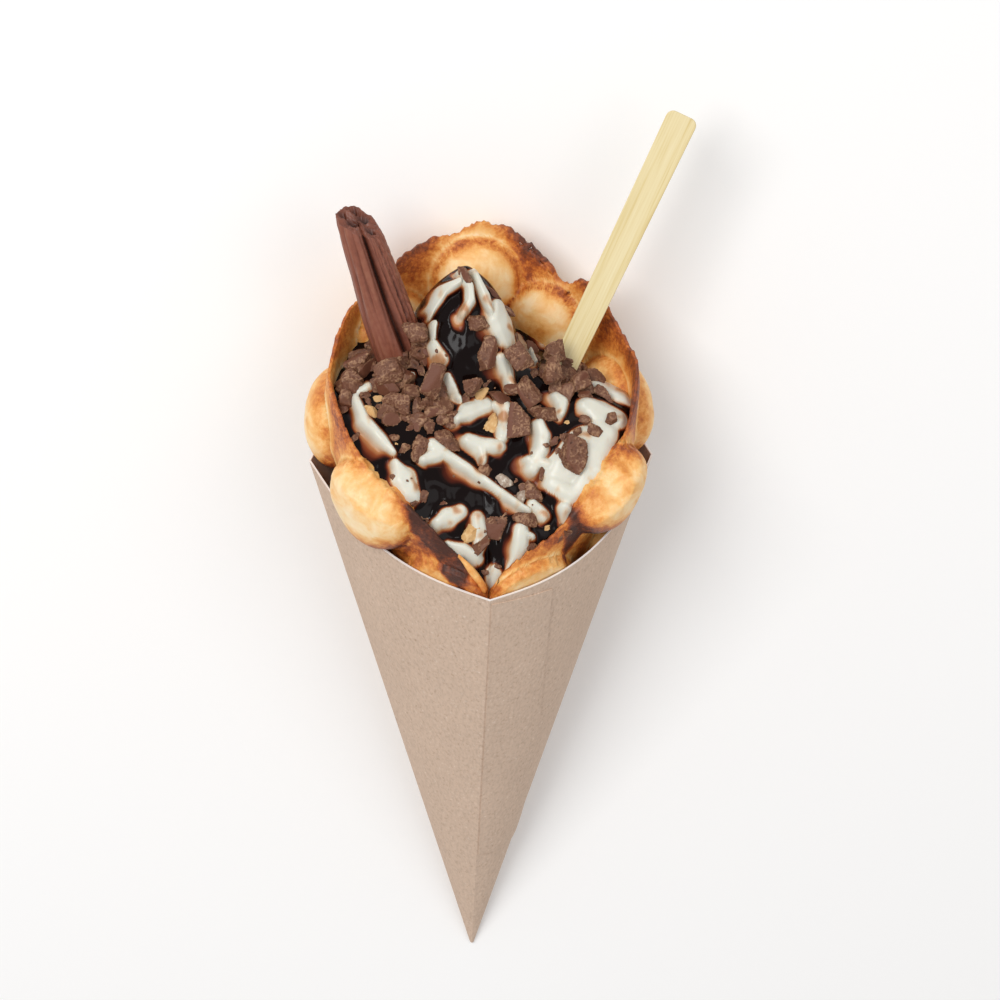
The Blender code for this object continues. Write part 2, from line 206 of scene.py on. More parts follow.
def storeValues(piece, name, values):
    layer = piece.data.attributes.new(name, "FLOAT", "POINT")
    layer.data.foreach_set("value", np.ascontiguousarray(values, dtype=np.float32))


def smooth(value, start, end):
    share = np.clip((value - start) / (end - start), 0, 1)
    return share * share * (3 - 2 * share)


def ramp(value, start, end):
    return np.clip((value - start) / (end - start), 0, 1)


def wrap(angle):
    return (angle + math.pi) % (2 * math.pi) - math.pi


def bump(angle, middleDegrees, widthDegrees):
    # 1 in the middle, falling off to 0 on both sides
    away = np.degrees(wrap(angle - math.radians(middleDegrees)))
    return np.exp(-((away / widthDegrees) ** 2))


def at(angle, radius, height):
    # upright points at an angle round the cone's axis and a distance from it
    return np.stack((radius * np.sin(angle), -radius * np.cos(angle), height + 0 * radius * angle), axis=-1)


def uneven(points, size, seed=0.0, detail=1):
    # smooth noise between about -1 and 1, whose lumps are about as large as size
    values = np.zeros(len(points))
    for octave in range(detail):
        step = 2**octave
        shift = Vector((seed, 3.1 * seed, 7.7 + octave))
        values += [noise.noise(Vector(p) * (step / size) + shift) / step for p in points]
    return values


def copyNode(nodeName, name):
    # a CAD node's mesh as a piece of its own, with its loose triangles merged
    node = frame["nodes"][nodeName]
    bpy.ops.object.select_all(action="DESELECT")
    piece = bpy.data.objects.new(name, node.data.copy())
    bpy.context.collection.objects.link(piece)
    piece.data.transform(node.matrix_world)
    mergeCorners(piece)
    return piece


def finishPiece(piece, materials, replaced=()):
    if list(piece.data.materials) != list(materials):
        piece.data.materials.clear()
        for material in materials:
            piece.data.materials.append(material)
    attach(piece, "root")
    if replaced:
        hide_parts(*replaced)
    return piece


view = {
    "target": Vector((0.00732, 0, 0.21507)),  # on the cone's axis, upright frame
    "distance": 1.3134,
    "above": math.radians(32),  # how far above the mouth's plane it looks from
    "aside": math.radians(-4.514),
    "roll": math.radians(1.337),
    "lens": 125.7,
    "sensorWidth": 36,
}


def addCamera():
    above, aside = view["above"], view["aside"]
    back = Vector((math.sin(aside) * math.cos(above), -math.cos(aside) * math.cos(above), math.sin(above)))
    right = (-back).cross(Vector((0, 0, 1))).normalized()
    up = right.cross(-back)
    turned = Matrix((right, up, back)).transposed() @ Matrix.Rotation(view["roll"], 3, "Z")
    place = Matrix.Translation(view["target"] + back * view["distance"]) @ turned.to_4x4()
    camera = bpy.data.objects.new("camera", bpy.data.cameras.new("camera"))
    bpy.context.collection.objects.link(camera)
    camera.matrix_world = layDownMatrix @ place
    camera.data.lens = view["lens"]
    camera.data.sensor_width = view["sensorWidth"]
    bpy.context.scene.camera = camera


addCamera()


studio = {
    "floorSize": 6.0,
    "floorDrop": 0.0002,  # keeps the floor just clear of the board
    "floorColour": "#f7f6f4",
    "lampSize": 0.8,
    "lampAim": Vector((0, -0.05, 0.05)),
    # place and power: the key stands beyond the mouth and to the left of the view, the fill to its right
    "lamps": {"key": (Vector((0.72, -0.80, 1.45)), 16.5), "fill": (Vector((-0.60, -0.55, 1.30)), 2.8)},
    "skyColour": "#fdfdff",
    "skyStrength": 0.60,
}


def addStudio():
    bpy.ops.object.select_all(action="DESELECT")
    bpy.ops.mesh.primitive_plane_add(size=studio["floorSize"], location=(0, 0, -studio["floorDrop"]))
    floor = bpy.context.active_object
    floor.name = "floor"
    # uncoated studio paper: pale and quite matt
    paper, tree, shader = newMaterial("pale studio paper")
    setInputs(tree, shader, {"Base Color": linear(studio["floorColour"]), "Roughness": 0.9})
    floor.data.materials.append(paper)
    for name, (place, power) in studio["lamps"].items():
        lamp = bpy.data.objects.new(name, bpy.data.lights.new(name, "AREA"))
        bpy.context.collection.objects.link(lamp)
        lamp.data.energy = power
        lamp.data.size = studio["lampSize"]
        lamp.location = place
        lamp.rotation_euler = (place - studio["lampAim"]).to_track_quat("Z", "Y").to_euler()
    world = bpy.data.worlds.new("studio")
    bpy.context.scene.world = world
    world.use_nodes = True
    light = {"Color": linear(studio["skyColour"]), "Strength": studio["skyStrength"]}
    setInputs(world.node_tree, world.node_tree.nodes["Background"], light)
    bpy.context.scene.view_settings.view_transform = "Standard"


addStudio()
print("camera and studio made")


board = {
    "thickness": 0.0006,
    "rimHeight": 0.234,  # at the side ridges
    "rimTilt": 0.461,
    "rightBow": 0.056,
    "leftBow": 0.047,
    "backBow": 0.030,
    "foldRadius": 0.0008,
    "stepsEachPanel": 22,
    "rows": 34,
    "cutAndHighlightWidth": 0.00035,  # of the row along the rim where the pale core shows, which also stands as a painted highlight along the edge
    "tip": 0.0026,  # height of the folded point
    "flapWidth": 0.024,
    "flapStart": 0.0006,
    "flapTop": 0.2055,
    "flapBottom": 0.060,
    "flapRaised": 0.0003,
    "flapThickness": 0.00048,
    "flapSlope": 0.25,  # the board's radius for each metre of height under the flap
    "fibres": {"Scale": lumpScale(1.333), "Detail": 3, "Roughness": 0.7},
    "streaks": {"Scale": lumpScale(0.909), "Detail": 2},
    "clouds": {"Scale": lumpScale(22.22), "Detail": 3},
    # ground, darker and lighter fibres
    "outside": ("#d3b9a3", "#b99d86", "#e6d3c2"),
    # the inside is the same board in darker colours: painted shade
    "inside": ("#a58d80", "#8d776c", "#b8a395"),
    # the pale core of the cut, also a painted highlight along the edges
    "cutEdgeAndHighlight": "#ece4de",
}


def boardSlope(angle):
    # outer radius for each metre of height: four bowed panels and the pressed back strip
    angle = wrap(angle)
    inFront = np.abs(angle) < math.pi / 2
    turn = np.abs(angle) - np.where(inFront, math.pi / 4, 3 * math.pi / 4)
    bow = np.where(inFront, np.where(angle > 0, board["rightBow"], board["leftBow"]), board["backBow"])
    slope = lie["ridgeSlope"] / math.sqrt(2) / np.cos(turn)
    slope = slope + bow * np.sin(math.pi * (1 + np.tan(turn)) / 2)
    behind = np.maximum(-np.cos(angle), 1e-6)
    return np.where(np.cos(angle) < 0, np.minimum(slope, lie["backSlope"] / behind), slope)


def boardRim(angle):
    return board["rimHeight"] / (1 + board["rimTilt"] * boardSlope(angle) * np.cos(angle))


def boardAngles(steps):
    # from one back ridge round the front to the other, with more steps beside the ridges
    backRidge = math.pi - math.atan((lie["ridgeSlope"] - lie["backSlope"]) / lie["backSlope"])
    ridges = [-backRidge, -math.pi / 2, 0, math.pi / 2, backRidge]
    angles = []
    for start, end in zip(ridges, ridges[1:]):
        angles += [start + (end - start) * (step / steps) for step in range(steps)]
    return np.array(angles + [backRidge])


def kraftMaterial(name, ground, dark, light):
    # unbleached board: matt and warm grey-brown, with short fibres lighter and darker than the ground,
    # which are drawn about 1 mm wide, as real ones are too fine to show
    material, tree, shader = newMaterial(name)
    place = addNode(tree, "TexCoord").outputs["Object"]
    fibre = addNode(tree, "TexNoise", {"Vector": place, **board["fibres"]})
    drawnOut = addNode(tree, "Mapping", {"Vector": place, "Scale": (1, 0.22, 1)})
    streak = addNode(tree, "TexNoise", {"Vector": drawnOut.outputs["Vector"], **board["streaks"]})
    cloud = addNode(tree, "TexNoise", {"Vector": place, **board["clouds"]})
    tint = addNode(tree, "ValToRGB", {"Fac": fibre.outputs["Fac"]})
    coloured = fillRamp(tint, ((0.26, dark), (0.44, ground), (0.60, ground), (0.76, light)))
    shades = (
        (streak, 0.9, ((0.25, 0.80), (0.5, 0.93), (0.75, 1.0))),
        (cloud, 1.0, ((0.3, 0.955), (0.7, 1.0))),
    )
    for pattern, strength, stops in shades:
        shade = fillRamp(addNode(tree, "ValToRGB", {"Fac": pattern.outputs["Fac"]}), stops)
        shaded = {0: strength, 6: coloured, 7: shade}
        coloured = addNode(tree, "Mix", shaded, data_type="RGBA", blend_type="MULTIPLY").outputs[2]
    raised = addNode(tree, "Bump", {"Height": fibre.outputs["Fac"], "Strength": 0.35, "Distance": 0.00006})
    finish = {"Roughness": 0.88, "Specular IOR Level": 0.3}
    setInputs(tree, shader, {"Base Color": coloured, "Normal": raised.outputs["Normal"], **finish})
    return material


def boardMaterials():
    outside = kraftMaterial("kraft board", *board["outside"])
    # the inside is a darker copy of the board: painted shade
    inside = kraftMaterial("kraft board inside in painted shade", *board["inside"])
    # where the board is cut, its pale core shows; the pale colour is also a painted highlight along the edges
    cutEdgeAndHighlight, tree, shader = newMaterial("cut board edge and painted highlight")
    setInputs(tree, shader, {"Base Color": linear(board["cutEdgeAndHighlight"]), "Roughness": 0.9})
    return outside, inside, cutEdgeAndHighlight


def addBoardCone(materials):
    angles = boardAngles(board["stepsEachPanel"])
    piece = addGrid("boardCone", len(angles) - 1, board["rows"])
    place = corners(piece)
    angle = np.interp(place[:, 0], np.linspace(0, 1, len(angles)), angles)
    rim = boardRim(angle)
    # the last row is narrow: there the pale core of the cut shows, partly as a painted highlight along the
    # rim
    share = np.minimum(1, place[:, 1] * board["rows"] / (board["rows"] - 1))
    height = board["tip"] + (rim - board["cutAndHighlightWidth"] * (place[:, 1] < 1) - board["tip"]) * share
    moveCorners(piece, at(angle, boardSlope(angle) * height, height))
    for material in materials:
        piece.data.materials.append(material)
    for face in piece.data.polygons:
        if min(place[vert][1] for vert in face.vertices) > 1 - 1.5 / board["rows"]:
            face.material_index = 2
    # the last panel of the grid is the flat back strip, which closes the cone
    editMode(piece)
    selectWhere(piece, "edges", lambda edge: edge.is_boundary and onBackRidge(edge, angles[0]))
    bpy.ops.mesh.bridge_edge_loops()
    bpy.ops.mesh.select_all(action="DESELECT")
    # and the folded point is closed at its lower end
    selectWhere(piece, "edges", lambda edge: edge.is_boundary and max(v.co.z for v in edge.verts) < 0.02)
    bpy.ops.mesh.edge_face_add()
    turnOutwards()
    objectMode()
    moveCorners(piece, layDown(corners(piece)))
    fold = {"width": board["foldRadius"], "segments": 2, "angle_limit": math.radians(35)}
    applyModifier(piece, "BEVEL", limit_method="ANGLE", **fold)
    wall = {"thickness": board["thickness"], "offset": -1, "use_even_offset": True}
    # the inner side takes the darker inside material, which is painted shade
    applyModifier(piece, "SOLIDIFY", material_offset=1, material_offset_rim=2, **wall)
    return finishPiece(piece, materials, ("paper_cone",))


def onBackRidge(edge, backRidge):
    # an edge that runs up one of the two back ridges
    for vert in edge.verts:
        if abs(abs(math.atan2(vert.co.x, -vert.co.y)) - abs(backRidge)) > 1e-4:
            return False
    return abs(edge.verts[0].co.z - edge.verts[1].co.z) > 1e-6


def addFlap(materials):
    # glued on the front right panel, along the front ridge
    piece = addGrid("glueFlap", 26, 40)
    place = corners(piece)
    height = board["flapBottom"] + (board["flapTop"] - board["flapBottom"]) * place[:, 1]
    across = board["flapStart"] + (board["flapWidth"] - board["flapStart"]) * place[:, 0]
    angle = across / (height * board["flapSlope"])
    lift = board["flapRaised"] * (0.4 + 0.6 * smooth(place[:, 0], 0, 0.15))
    moveCorners(piece, layDown(at(angle, boardSlope(angle) * height + lift, height)))
    mergeCorners(piece)
    # the flap's cut sides take the pale edge, which is also a painted highlight
    applyModifier(piece, "SOLIDIFY", thickness=board["flapThickness"], offset=0, material_offset_rim=2)
    return finishPiece(piece, materials)


boardFinishes = boardMaterials()
addBoardCone(boardFinishes)
addFlap(boardFinishes)
print("board cone made")


waffle = {
    "web": 0.0024,
    "bottom": 0.125,
    "denseFrom": 0.168,  # below this height the board hides the waffle, so the rows stand apart
    "lowShare": 0.05,
    "frontRim": 0.206,
    "backRim": 0.308,
    "rimPower": 0.62,
    "rimWave": (0.0016, 9, 0.6),  # height, waves round the rim, how far they are turned
    "notch": (0.006, 140, 6),  # depth, angle and width in degrees
    "frontDips": ((0.0085, 30, 22), (0.002, -20, 13)),  # of the rim: depth, angle and width in degrees
    "dome": 0.0106,
    "sideRadius": 0.0555,
    "sideHeight": 0.245,
    "slope": 0.30,
    "flare": 0.04,
    "backTaper": 0.14,
    "frontSpread": 0.008,
    "boardRoom": 0.0040,
    "backRoom": 0.0060,
    "backRoomAbove": 0.0105,
    "columns": 344,
    "rows": 132,
    "crumble": 0.0014,  # how ragged the rim is
    # the two front domes hang over the board's edge: how far, and where, as angle and width in degrees
    "overhang": 0.0036,
    "overhangs": ((-52, 19), (56, 18)),
    # the web is baked more or less in places: how much, angle and width in degrees
    "webPatches": ((-0.10, -100, 30), (-0.15, 178, 12), (0.20, 158, 12), (0.05, -160, 14)),
    # almost burnt web beside the front ridge, in degrees: starts, full from, full to, ends;
    # and its width below the rim, outside and inside its soft edge
    "burnt": ((-43, -37, -10, -6, 0.0118, 0.0088), (32, 36, 52, 60, 0.022, 0.018)),
    "burntTo": 0.88,
    "patches": {"Scale": lumpScale(8.333), "Detail": 5, "Distortion": 0.8},
    "mottle": {"Scale": lumpScale(1.613), "Detail": 5, "Roughness": 0.7},
    "pores": {"Scale": lumpScale(0.6667), "Detail": 2},
    "frontDomes": (7, 8),  # numbers of the cells, in the order of the list below
    "lowFrom": 13,  # number of the last cell above the lowest rows
    # each row of cells: height of the centres, radius of a cell, angles in degrees
    "cells": (
        (0.284, 0.0175, (180,)),
        (0.268, 0.0175, (-138, 147)),
        (0.248, 0.0165, (180,)),
        (0.246, 0.0200, (-103, 107)),
        (0.235, 0.0184, (-52,)),
        (0.2385, 0.0176, (55,)),
        (0.228, 0.0165, (-146, 141)),
        (0.211, 0.0165, (-77, 78, -176)),
        (0.2015, 0.0175, (-21, 22)),
        (0.196, 0.0155, (-112, 112)),
        (0.180, 0.0150, (-50, 50, 180)),
        (0.172, 0.0140, (0, -92, 92, -140, 140)),
        (0.150, 0.0120, (-40, 40, -110, 110, 180)),
    ),
}


def smoothest(values, softness=0.0016):
    # the smallest of the values, with the change from one to another rounded off
    least = np.minimum.reduce(values)
    return least - softness * np.log(sum(np.exp((least - value) / softness) for value in values))


def frontDips(angle):
    return sum(depth * bump(angle, middle, width) for depth, middle, width in waffle["frontDips"])


def waffleRim(angle):
    share = np.abs(wrap(angle)) / math.pi
    waveHeight, waves, turned = waffle["rimWave"]
    wave = waveHeight * np.sin(waves * angle + turned) * np.minimum(1, 4 * share)
    depth, middle, width = waffle["notch"]
    notch = depth * bump(angle, middle, width)
    rise = (waffle["backRim"] - waffle["frontRim"]) * share ** waffle["rimPower"]
    return waffle["frontRim"] + rise + wave - notch - frontDips(angle)


def middleRadius(angle, height):
    # middle of the web: a cone that fits the board and stands clear of the floor
    free = waffle["sideRadius"] - waffle["slope"] * np.maximum(0, waffle["sideHeight"] - height)
    free = free + waffle["flare"] * np.maximum(0, height - waffle["sideHeight"])
    free = free * (1 - waffle["backTaper"] * np.maximum(0, -np.cos(angle)))
    free = free + waffle["frontSpread"] * bump(angle, 0, 22) * ramp(height, 0.235, 0.205)
    held = boardSlope(angle) * height - waffle["boardRoom"] + 2 * np.maximum(0, height - boardRim(angle))
    room = waffle["backRoom"] + (waffle["backRoomAbove"] - waffle["backRoom"]) * ramp(height, 0.240, 0.275)
    behind = (lie["backSlope"] * height - room) / np.maximum(-np.cos(angle), 0.2)
    behind = np.where(np.cos(angle) < -0.2, behind, 1.0)
    closing = np.sqrt(ramp(height, waffle["bottom"] - 0.001, waffle["bottom"] + 0.019))
    return smoothest((free, held, behind)) * closing


def cellReach(angle, height):
    # distance from the nearest cell's centre, 1 on the ring round its dome, that cell's number, and how far
    # below its centre a place lies
    reach = np.full(np.shape(angle), 9.0)
    below = np.zeros(np.shape(angle))
    number = np.zeros(np.shape(angle))
    count = 0
    for cellHeight, radius, degrees in waffle["cells"]:
        for degree in degrees:
            count += 1
            middle = math.radians(degree)
            sideways = wrap(angle - middle) * middleRadius(np.array(middle), np.array(cellHeight))
            away = np.hypot(sideways, (height - cellHeight) * 1.03) / radius
            number = np.where(away < reach, count, number)
            below = np.where(away < reach, (cellHeight - height) / radius, below)
            reach = np.minimum(reach, away)
    return reach, number, below


def domeShare(reach):
    return np.maximum(0, 1 - np.minimum(reach, 1) ** 2.8) ** 0.6


def waffleBakeAndShade(angle, height, reach, number, below, edge):
    # how far the crust is baked, from 0, pale, to 1, almost burnt, with painted shade added on the right
    # front dome
    degrees = np.degrees(wrap(angle))
    behind = smooth(np.abs(wrap(angle)), 1.9, 2.3)
    inFront = smooth(np.abs(wrap(angle)), 1.25, 0.85)
    dome = 0.12 + 0.10 * smooth(reach, 0.35, 0.85) + 0.16 * smooth(reach, 0.78, 1.0)
    dome = dome + 0.04 * np.sin(number * 2.3 + 1) + 0.28 * smooth(below, 0.0, 0.7)
    dome = dome + (0.22 * smooth(reach, 0.75, 0.2) - 0.05) * behind
    dome = dome + 0.12 * np.exp(-edge / 0.008) * smooth(reach, 0.3, 0.9)
    # the two front domes brown towards their lower ends; the right one is also darkened all over, as painted
    # shade for light that comes from the left
    inFrontRow = np.isin(number, waffle["frontDomes"])
    dome = dome + 0.12 * smooth(below, 0.1, 0.8) * inFrontRow + 0.06 * (number == waffle["frontDomes"][1])
    web = 0.36 + 0.21 * smooth(reach, 1.05, 1.55) + 0.05 * np.exp(-edge / 0.0016)
    web = web + sum(amount * bump(angle, middle, width) for amount, middle, width in waffle["webPatches"])
    web = web + 0.06 * bump(angle, 84, 26) * np.exp(-((edge / 0.006) ** 2))
    web = web + 0.22 * bump(angle, -40, 20) * inFront * smooth(height, 0.262, 0.245)
    # a pale ring runs round each dome, with a brown one inside it
    ring = np.exp(-(((reach - 1.07) / 0.03) ** 2)) * smooth(web, 0.7, 0.5)
    dome = dome + 0.15 * np.exp(-(((reach - 0.96) / 0.05) ** 2)) * behind
    baked = dome + (web - dome) * smooth(reach, 0.99, 1.08) - 0.15 * ring
    burnt = sum(
        smooth(degrees, start, full) * smooth(degrees, end, fullTo) * smooth(edge, outside, inside)
        for start, full, fullTo, end, outside, inside in waffle["burnt"]
    )
    # but not on the domes, apart from the ring of the lowest right ones
    lowDome = number > waffle["lowFrom"]
    burnt = burnt * np.where(lowDome & (angle > 0), smooth(reach, 0.86, 1.0), 1)
    burnt = burnt * np.where(lowDome, 1, smooth(reach, 0.96, 1.06))
    return np.clip(baked + np.maximum(0, waffle["burntTo"] - baked) * burnt, 0, 1)


def waffleMaterial():
    # egg batter baked crisp: smooth pale gold domes, brown grainy web, soft wax-like gloss
    material, tree, shader = newMaterial("baked egg batter")
    place = addNode(tree, "TexCoord").outputs["Object"]
    # the crust's bake, which also holds painted shade on the right front dome
    baked = addNode(tree, "Attribute", attribute_name="baked").outputs["Fac"]
    patches = addNode(tree, "TexNoise", {"Vector": place, **waffle["patches"]})
    mottle = addNode(tree, "TexNoise", {"Vector": place, **waffle["mottle"]})
    pores = addNode(tree, "TexNoise", {"Vector": place, **waffle["pores"]})
    # the web is grainier than the domes
    onWeb = addNode(tree, "MapRange", {"Value": baked, "From Min": 0.25, "From Max": 0.55})
    spread = {"From Min": 0.3, "From Max": 0.7, "To Max": 0.14}
    patchSize = addNode(tree, "MapRange", {"Value": patches.outputs["Fac"], "To Min": -0.10, **spread})
    grainSize = addNode(tree, "MapRange", {"Value": mottle.outputs["Fac"], "To Min": -0.14, **spread})
    grainShare = addNode(tree, "MapRange", {"Value": onWeb.outputs[0], "To Min": 0.22, "To Max": 1.0})
    grain = addNode(tree, "Math", {0: grainSize.outputs[0], 1: grainShare.outputs[0]}, operation="MULTIPLY")
    summed = addNode(tree, "Math", {0: patchSize.outputs[0], 1: grain.outputs[0]}, operation="ADD")
    total = addNode(tree, "Math", {0: baked, 1: summed.outputs[0]}, operation="ADD")
    stops = (
        (0.02, "#fae3bd"),
        (0.15, "#f7d5a0"),
        (0.29, "#efb86f"),
        (0.41, "#df9445"),
        (0.53, "#c26c2b"),
        (0.64, "#9c4d20"),
        (0.78, "#69331c"),
        (0.92, "#462112"),
    )
    crust = fillRamp(addNode(tree, "ValToRGB", {"Fac": total.outputs[0]}), stops)
    relief = addNode(tree, "Math", {0: mottle.outputs["Fac"], 1: pores.outputs["Fac"]}, operation="ADD")
    rough = addNode(tree, "Math", {0: relief.outputs[0], 1: grainShare.outputs[0]}, operation="MULTIPLY")
    raised = addNode(tree, "Bump", {"Height": rough.outputs[0], "Strength": 0.5, "Distance": 0.00035})
    setInputs(tree, shader, {"Base Color": crust, "Normal": raised.outputs["Normal"]})
    setInputs(tree, shader, {"Roughness": 0.5, "Specular IOR Level": 0.45})
    setInputs(tree, shader, {"Subsurface Weight": 0.12, "Subsurface Radius": (0.003, 0.0015, 0.0006)})
    return material


def addWaffle(material):
    piece = addGrid("waffleSheet", waffle["columns"], waffle["rows"])
    place = corners(piece)
    angle = (place[:, 0] * 2 - 1) * math.pi
    ragged = uneven(np.stack((np.sin(angle), np.cos(angle), 0 * angle), axis=-1), 0.04, 3.0, 3)
    rim = waffleRim(angle) + waffle["crumble"] * (ragged - 0.2)
    share = place[:, 1]
    low = waffle["bottom"] + (waffle["denseFrom"] - waffle["bottom"]) * share / waffle["lowShare"]
    upShare = ramp(share, waffle["lowShare"], 1)
    high = waffle["denseFrom"] + (rim - waffle["denseFrom"]) * (1 - (1 - upShare) ** 1.12)
    height = np.where(share < waffle["lowShare"], low, high)
    reach, number, below = cellReach(angle, height)
    edge = rim - height
    rimFade = 1 - 0.55 * np.exp(-((edge / 0.002) ** 2))
    ring = 0.0012 * np.exp(-(((reach - 1.06) / 0.05) ** 2))
    domes = 2 * waffle["dome"] * domeShare(reach) * smooth(edge, -0.001, 0.006)
    thick = waffle["web"] * rimFade + ring + domes
    # the bake, with painted shade on the right front dome
    storeValues(piece, "baked", waffleBakeAndShade(angle, height, reach, number, below, edge))
    full = waffle["web"] + 2 * waffle["dome"]  # the thickness that a weight of 1 stands for
    group = piece.vertex_groups.new(name="thickness")
    for index, weight in enumerate(thick / full):
        group.add([index], float(weight), "REPLACE")
    moveCorners(piece, at(angle, middleRadius(angle, height), height))
    pierce(piece, angle, edge)
    mergeCorners(piece)
    byWeight = {"vertex_group": "thickness", "thickness_vertex_group": 0}
    applyModifier(piece, "SOLIDIFY", thickness=full, offset=0, **byWeight)
    points = keepInBoard(corners(piece))
    lumps = uneven(points, 0.012, 5.0, 2)
    normals = np.array([vert.normal for vert in piece.data.vertices])
    moveCorners(piece, layDown(points + normals * (0.00035 * lumps)[:, None]))
    piece.data.shade_smooth()
    return finishPiece(piece, [material], ("waffle",))


def pierce(piece, angle, edge):
    # small holes that the lacy crust has along the rim, most of them behind on the right
    lacy = bump(angle, 153, 11) * np.exp(-(((edge - 0.0028) / 0.0030) ** 2))
    lacy = lacy + 0.12 * np.exp(-(((edge - 0.0015) / 0.0012) ** 2)) * (np.abs(wrap(angle)) > 1.9)
    torn = uneven(corners(piece), 0.0016, 9.0) > 0.78 - 0.62 * lacy
    torn &= (lacy > 0.1) & (edge > 0.0008)
    editMode(piece)
    selectWhere(piece, "faces", lambda face: sum(torn[vert.index] for vert in face.verts) >= 2)
    bpy.ops.mesh.delete(type="FACE")
    objectMode()


def keepInBoard(points):
    # inside the board the crust lies against it; just at the rim the domes swell over it
    angle = np.arctan2(points[:, 0], -points[:, 1])
    radius = np.hypot(points[:, 0], points[:, 1])
    height = points[:, 2]
    nearest = np.maximum.reduce([bump(angle, middle, width) for middle, width in waffle["overhangs"]])
    swollen = smooth(nearest, 0.3, 0.75)
    above = np.maximum(0, height - boardRim(angle) + waffle["overhang"] * swollen)
    swollen = np.where(np.abs(wrap(angle)) > 1.3, 1, swollen)
    limit = boardSlope(angle) * height - board["thickness"] * 1.4 - 0.0003 + (0.02 + 4.9 * swollen) * above
    behind = (lie["backSlope"] * height - 0.0006) / np.maximum(-np.cos(angle), 0.05)
    limit = np.where(np.cos(angle) < -0.05, np.minimum(limit, behind), limit)
    shrink = np.minimum(1, limit / np.maximum(radius, 1e-6))
    return points * np.stack((shrink, shrink, np.ones(len(points))), axis=-1)


tornLip = {
    "from": -12.5,  # degrees
    "over": 11.3,
    "width": 0.0042,
    "curl": 0.0016,
    "thickness": 0.0009,
    "baked": 0.33,
}


def addTornLip(material):
    # a strip of the rim that tore off beside the front ridge and curled outwards
    piece = addGrid("tornLip", 40, 10)
    place = corners(piece)
    angle = np.radians(tornLip["from"] + tornLip["over"] * place[:, 0])
    taper = (0.2 + 0.8 * smooth(place[:, 0], 0, 0.55)) * smooth(place[:, 0], 1.0, 0.93)
    across = (place[:, 1] - 0.15) * tornLip["width"] * taper
    height = waffleRim(angle) + 0.0006 - across
    curl = 0.0010 + tornLip["curl"] * (1 - (2 * place[:, 1] - 1) ** 2) * taper
    moveCorners(piece, layDown(at(angle, middleRadius(angle, height) + curl, height)))
    applyModifier(piece, "SOLIDIFY", thickness=tornLip["thickness"], offset=0)
    storeValues(piece, "baked", np.full(len(piece.data.vertices), tornLip["baked"]))
    piece.data.shade_smooth()
    return finishPiece(piece, [material])


batter = waffleMaterial()
addWaffle(batter)
addTornLip(batter)
print("waffle made")


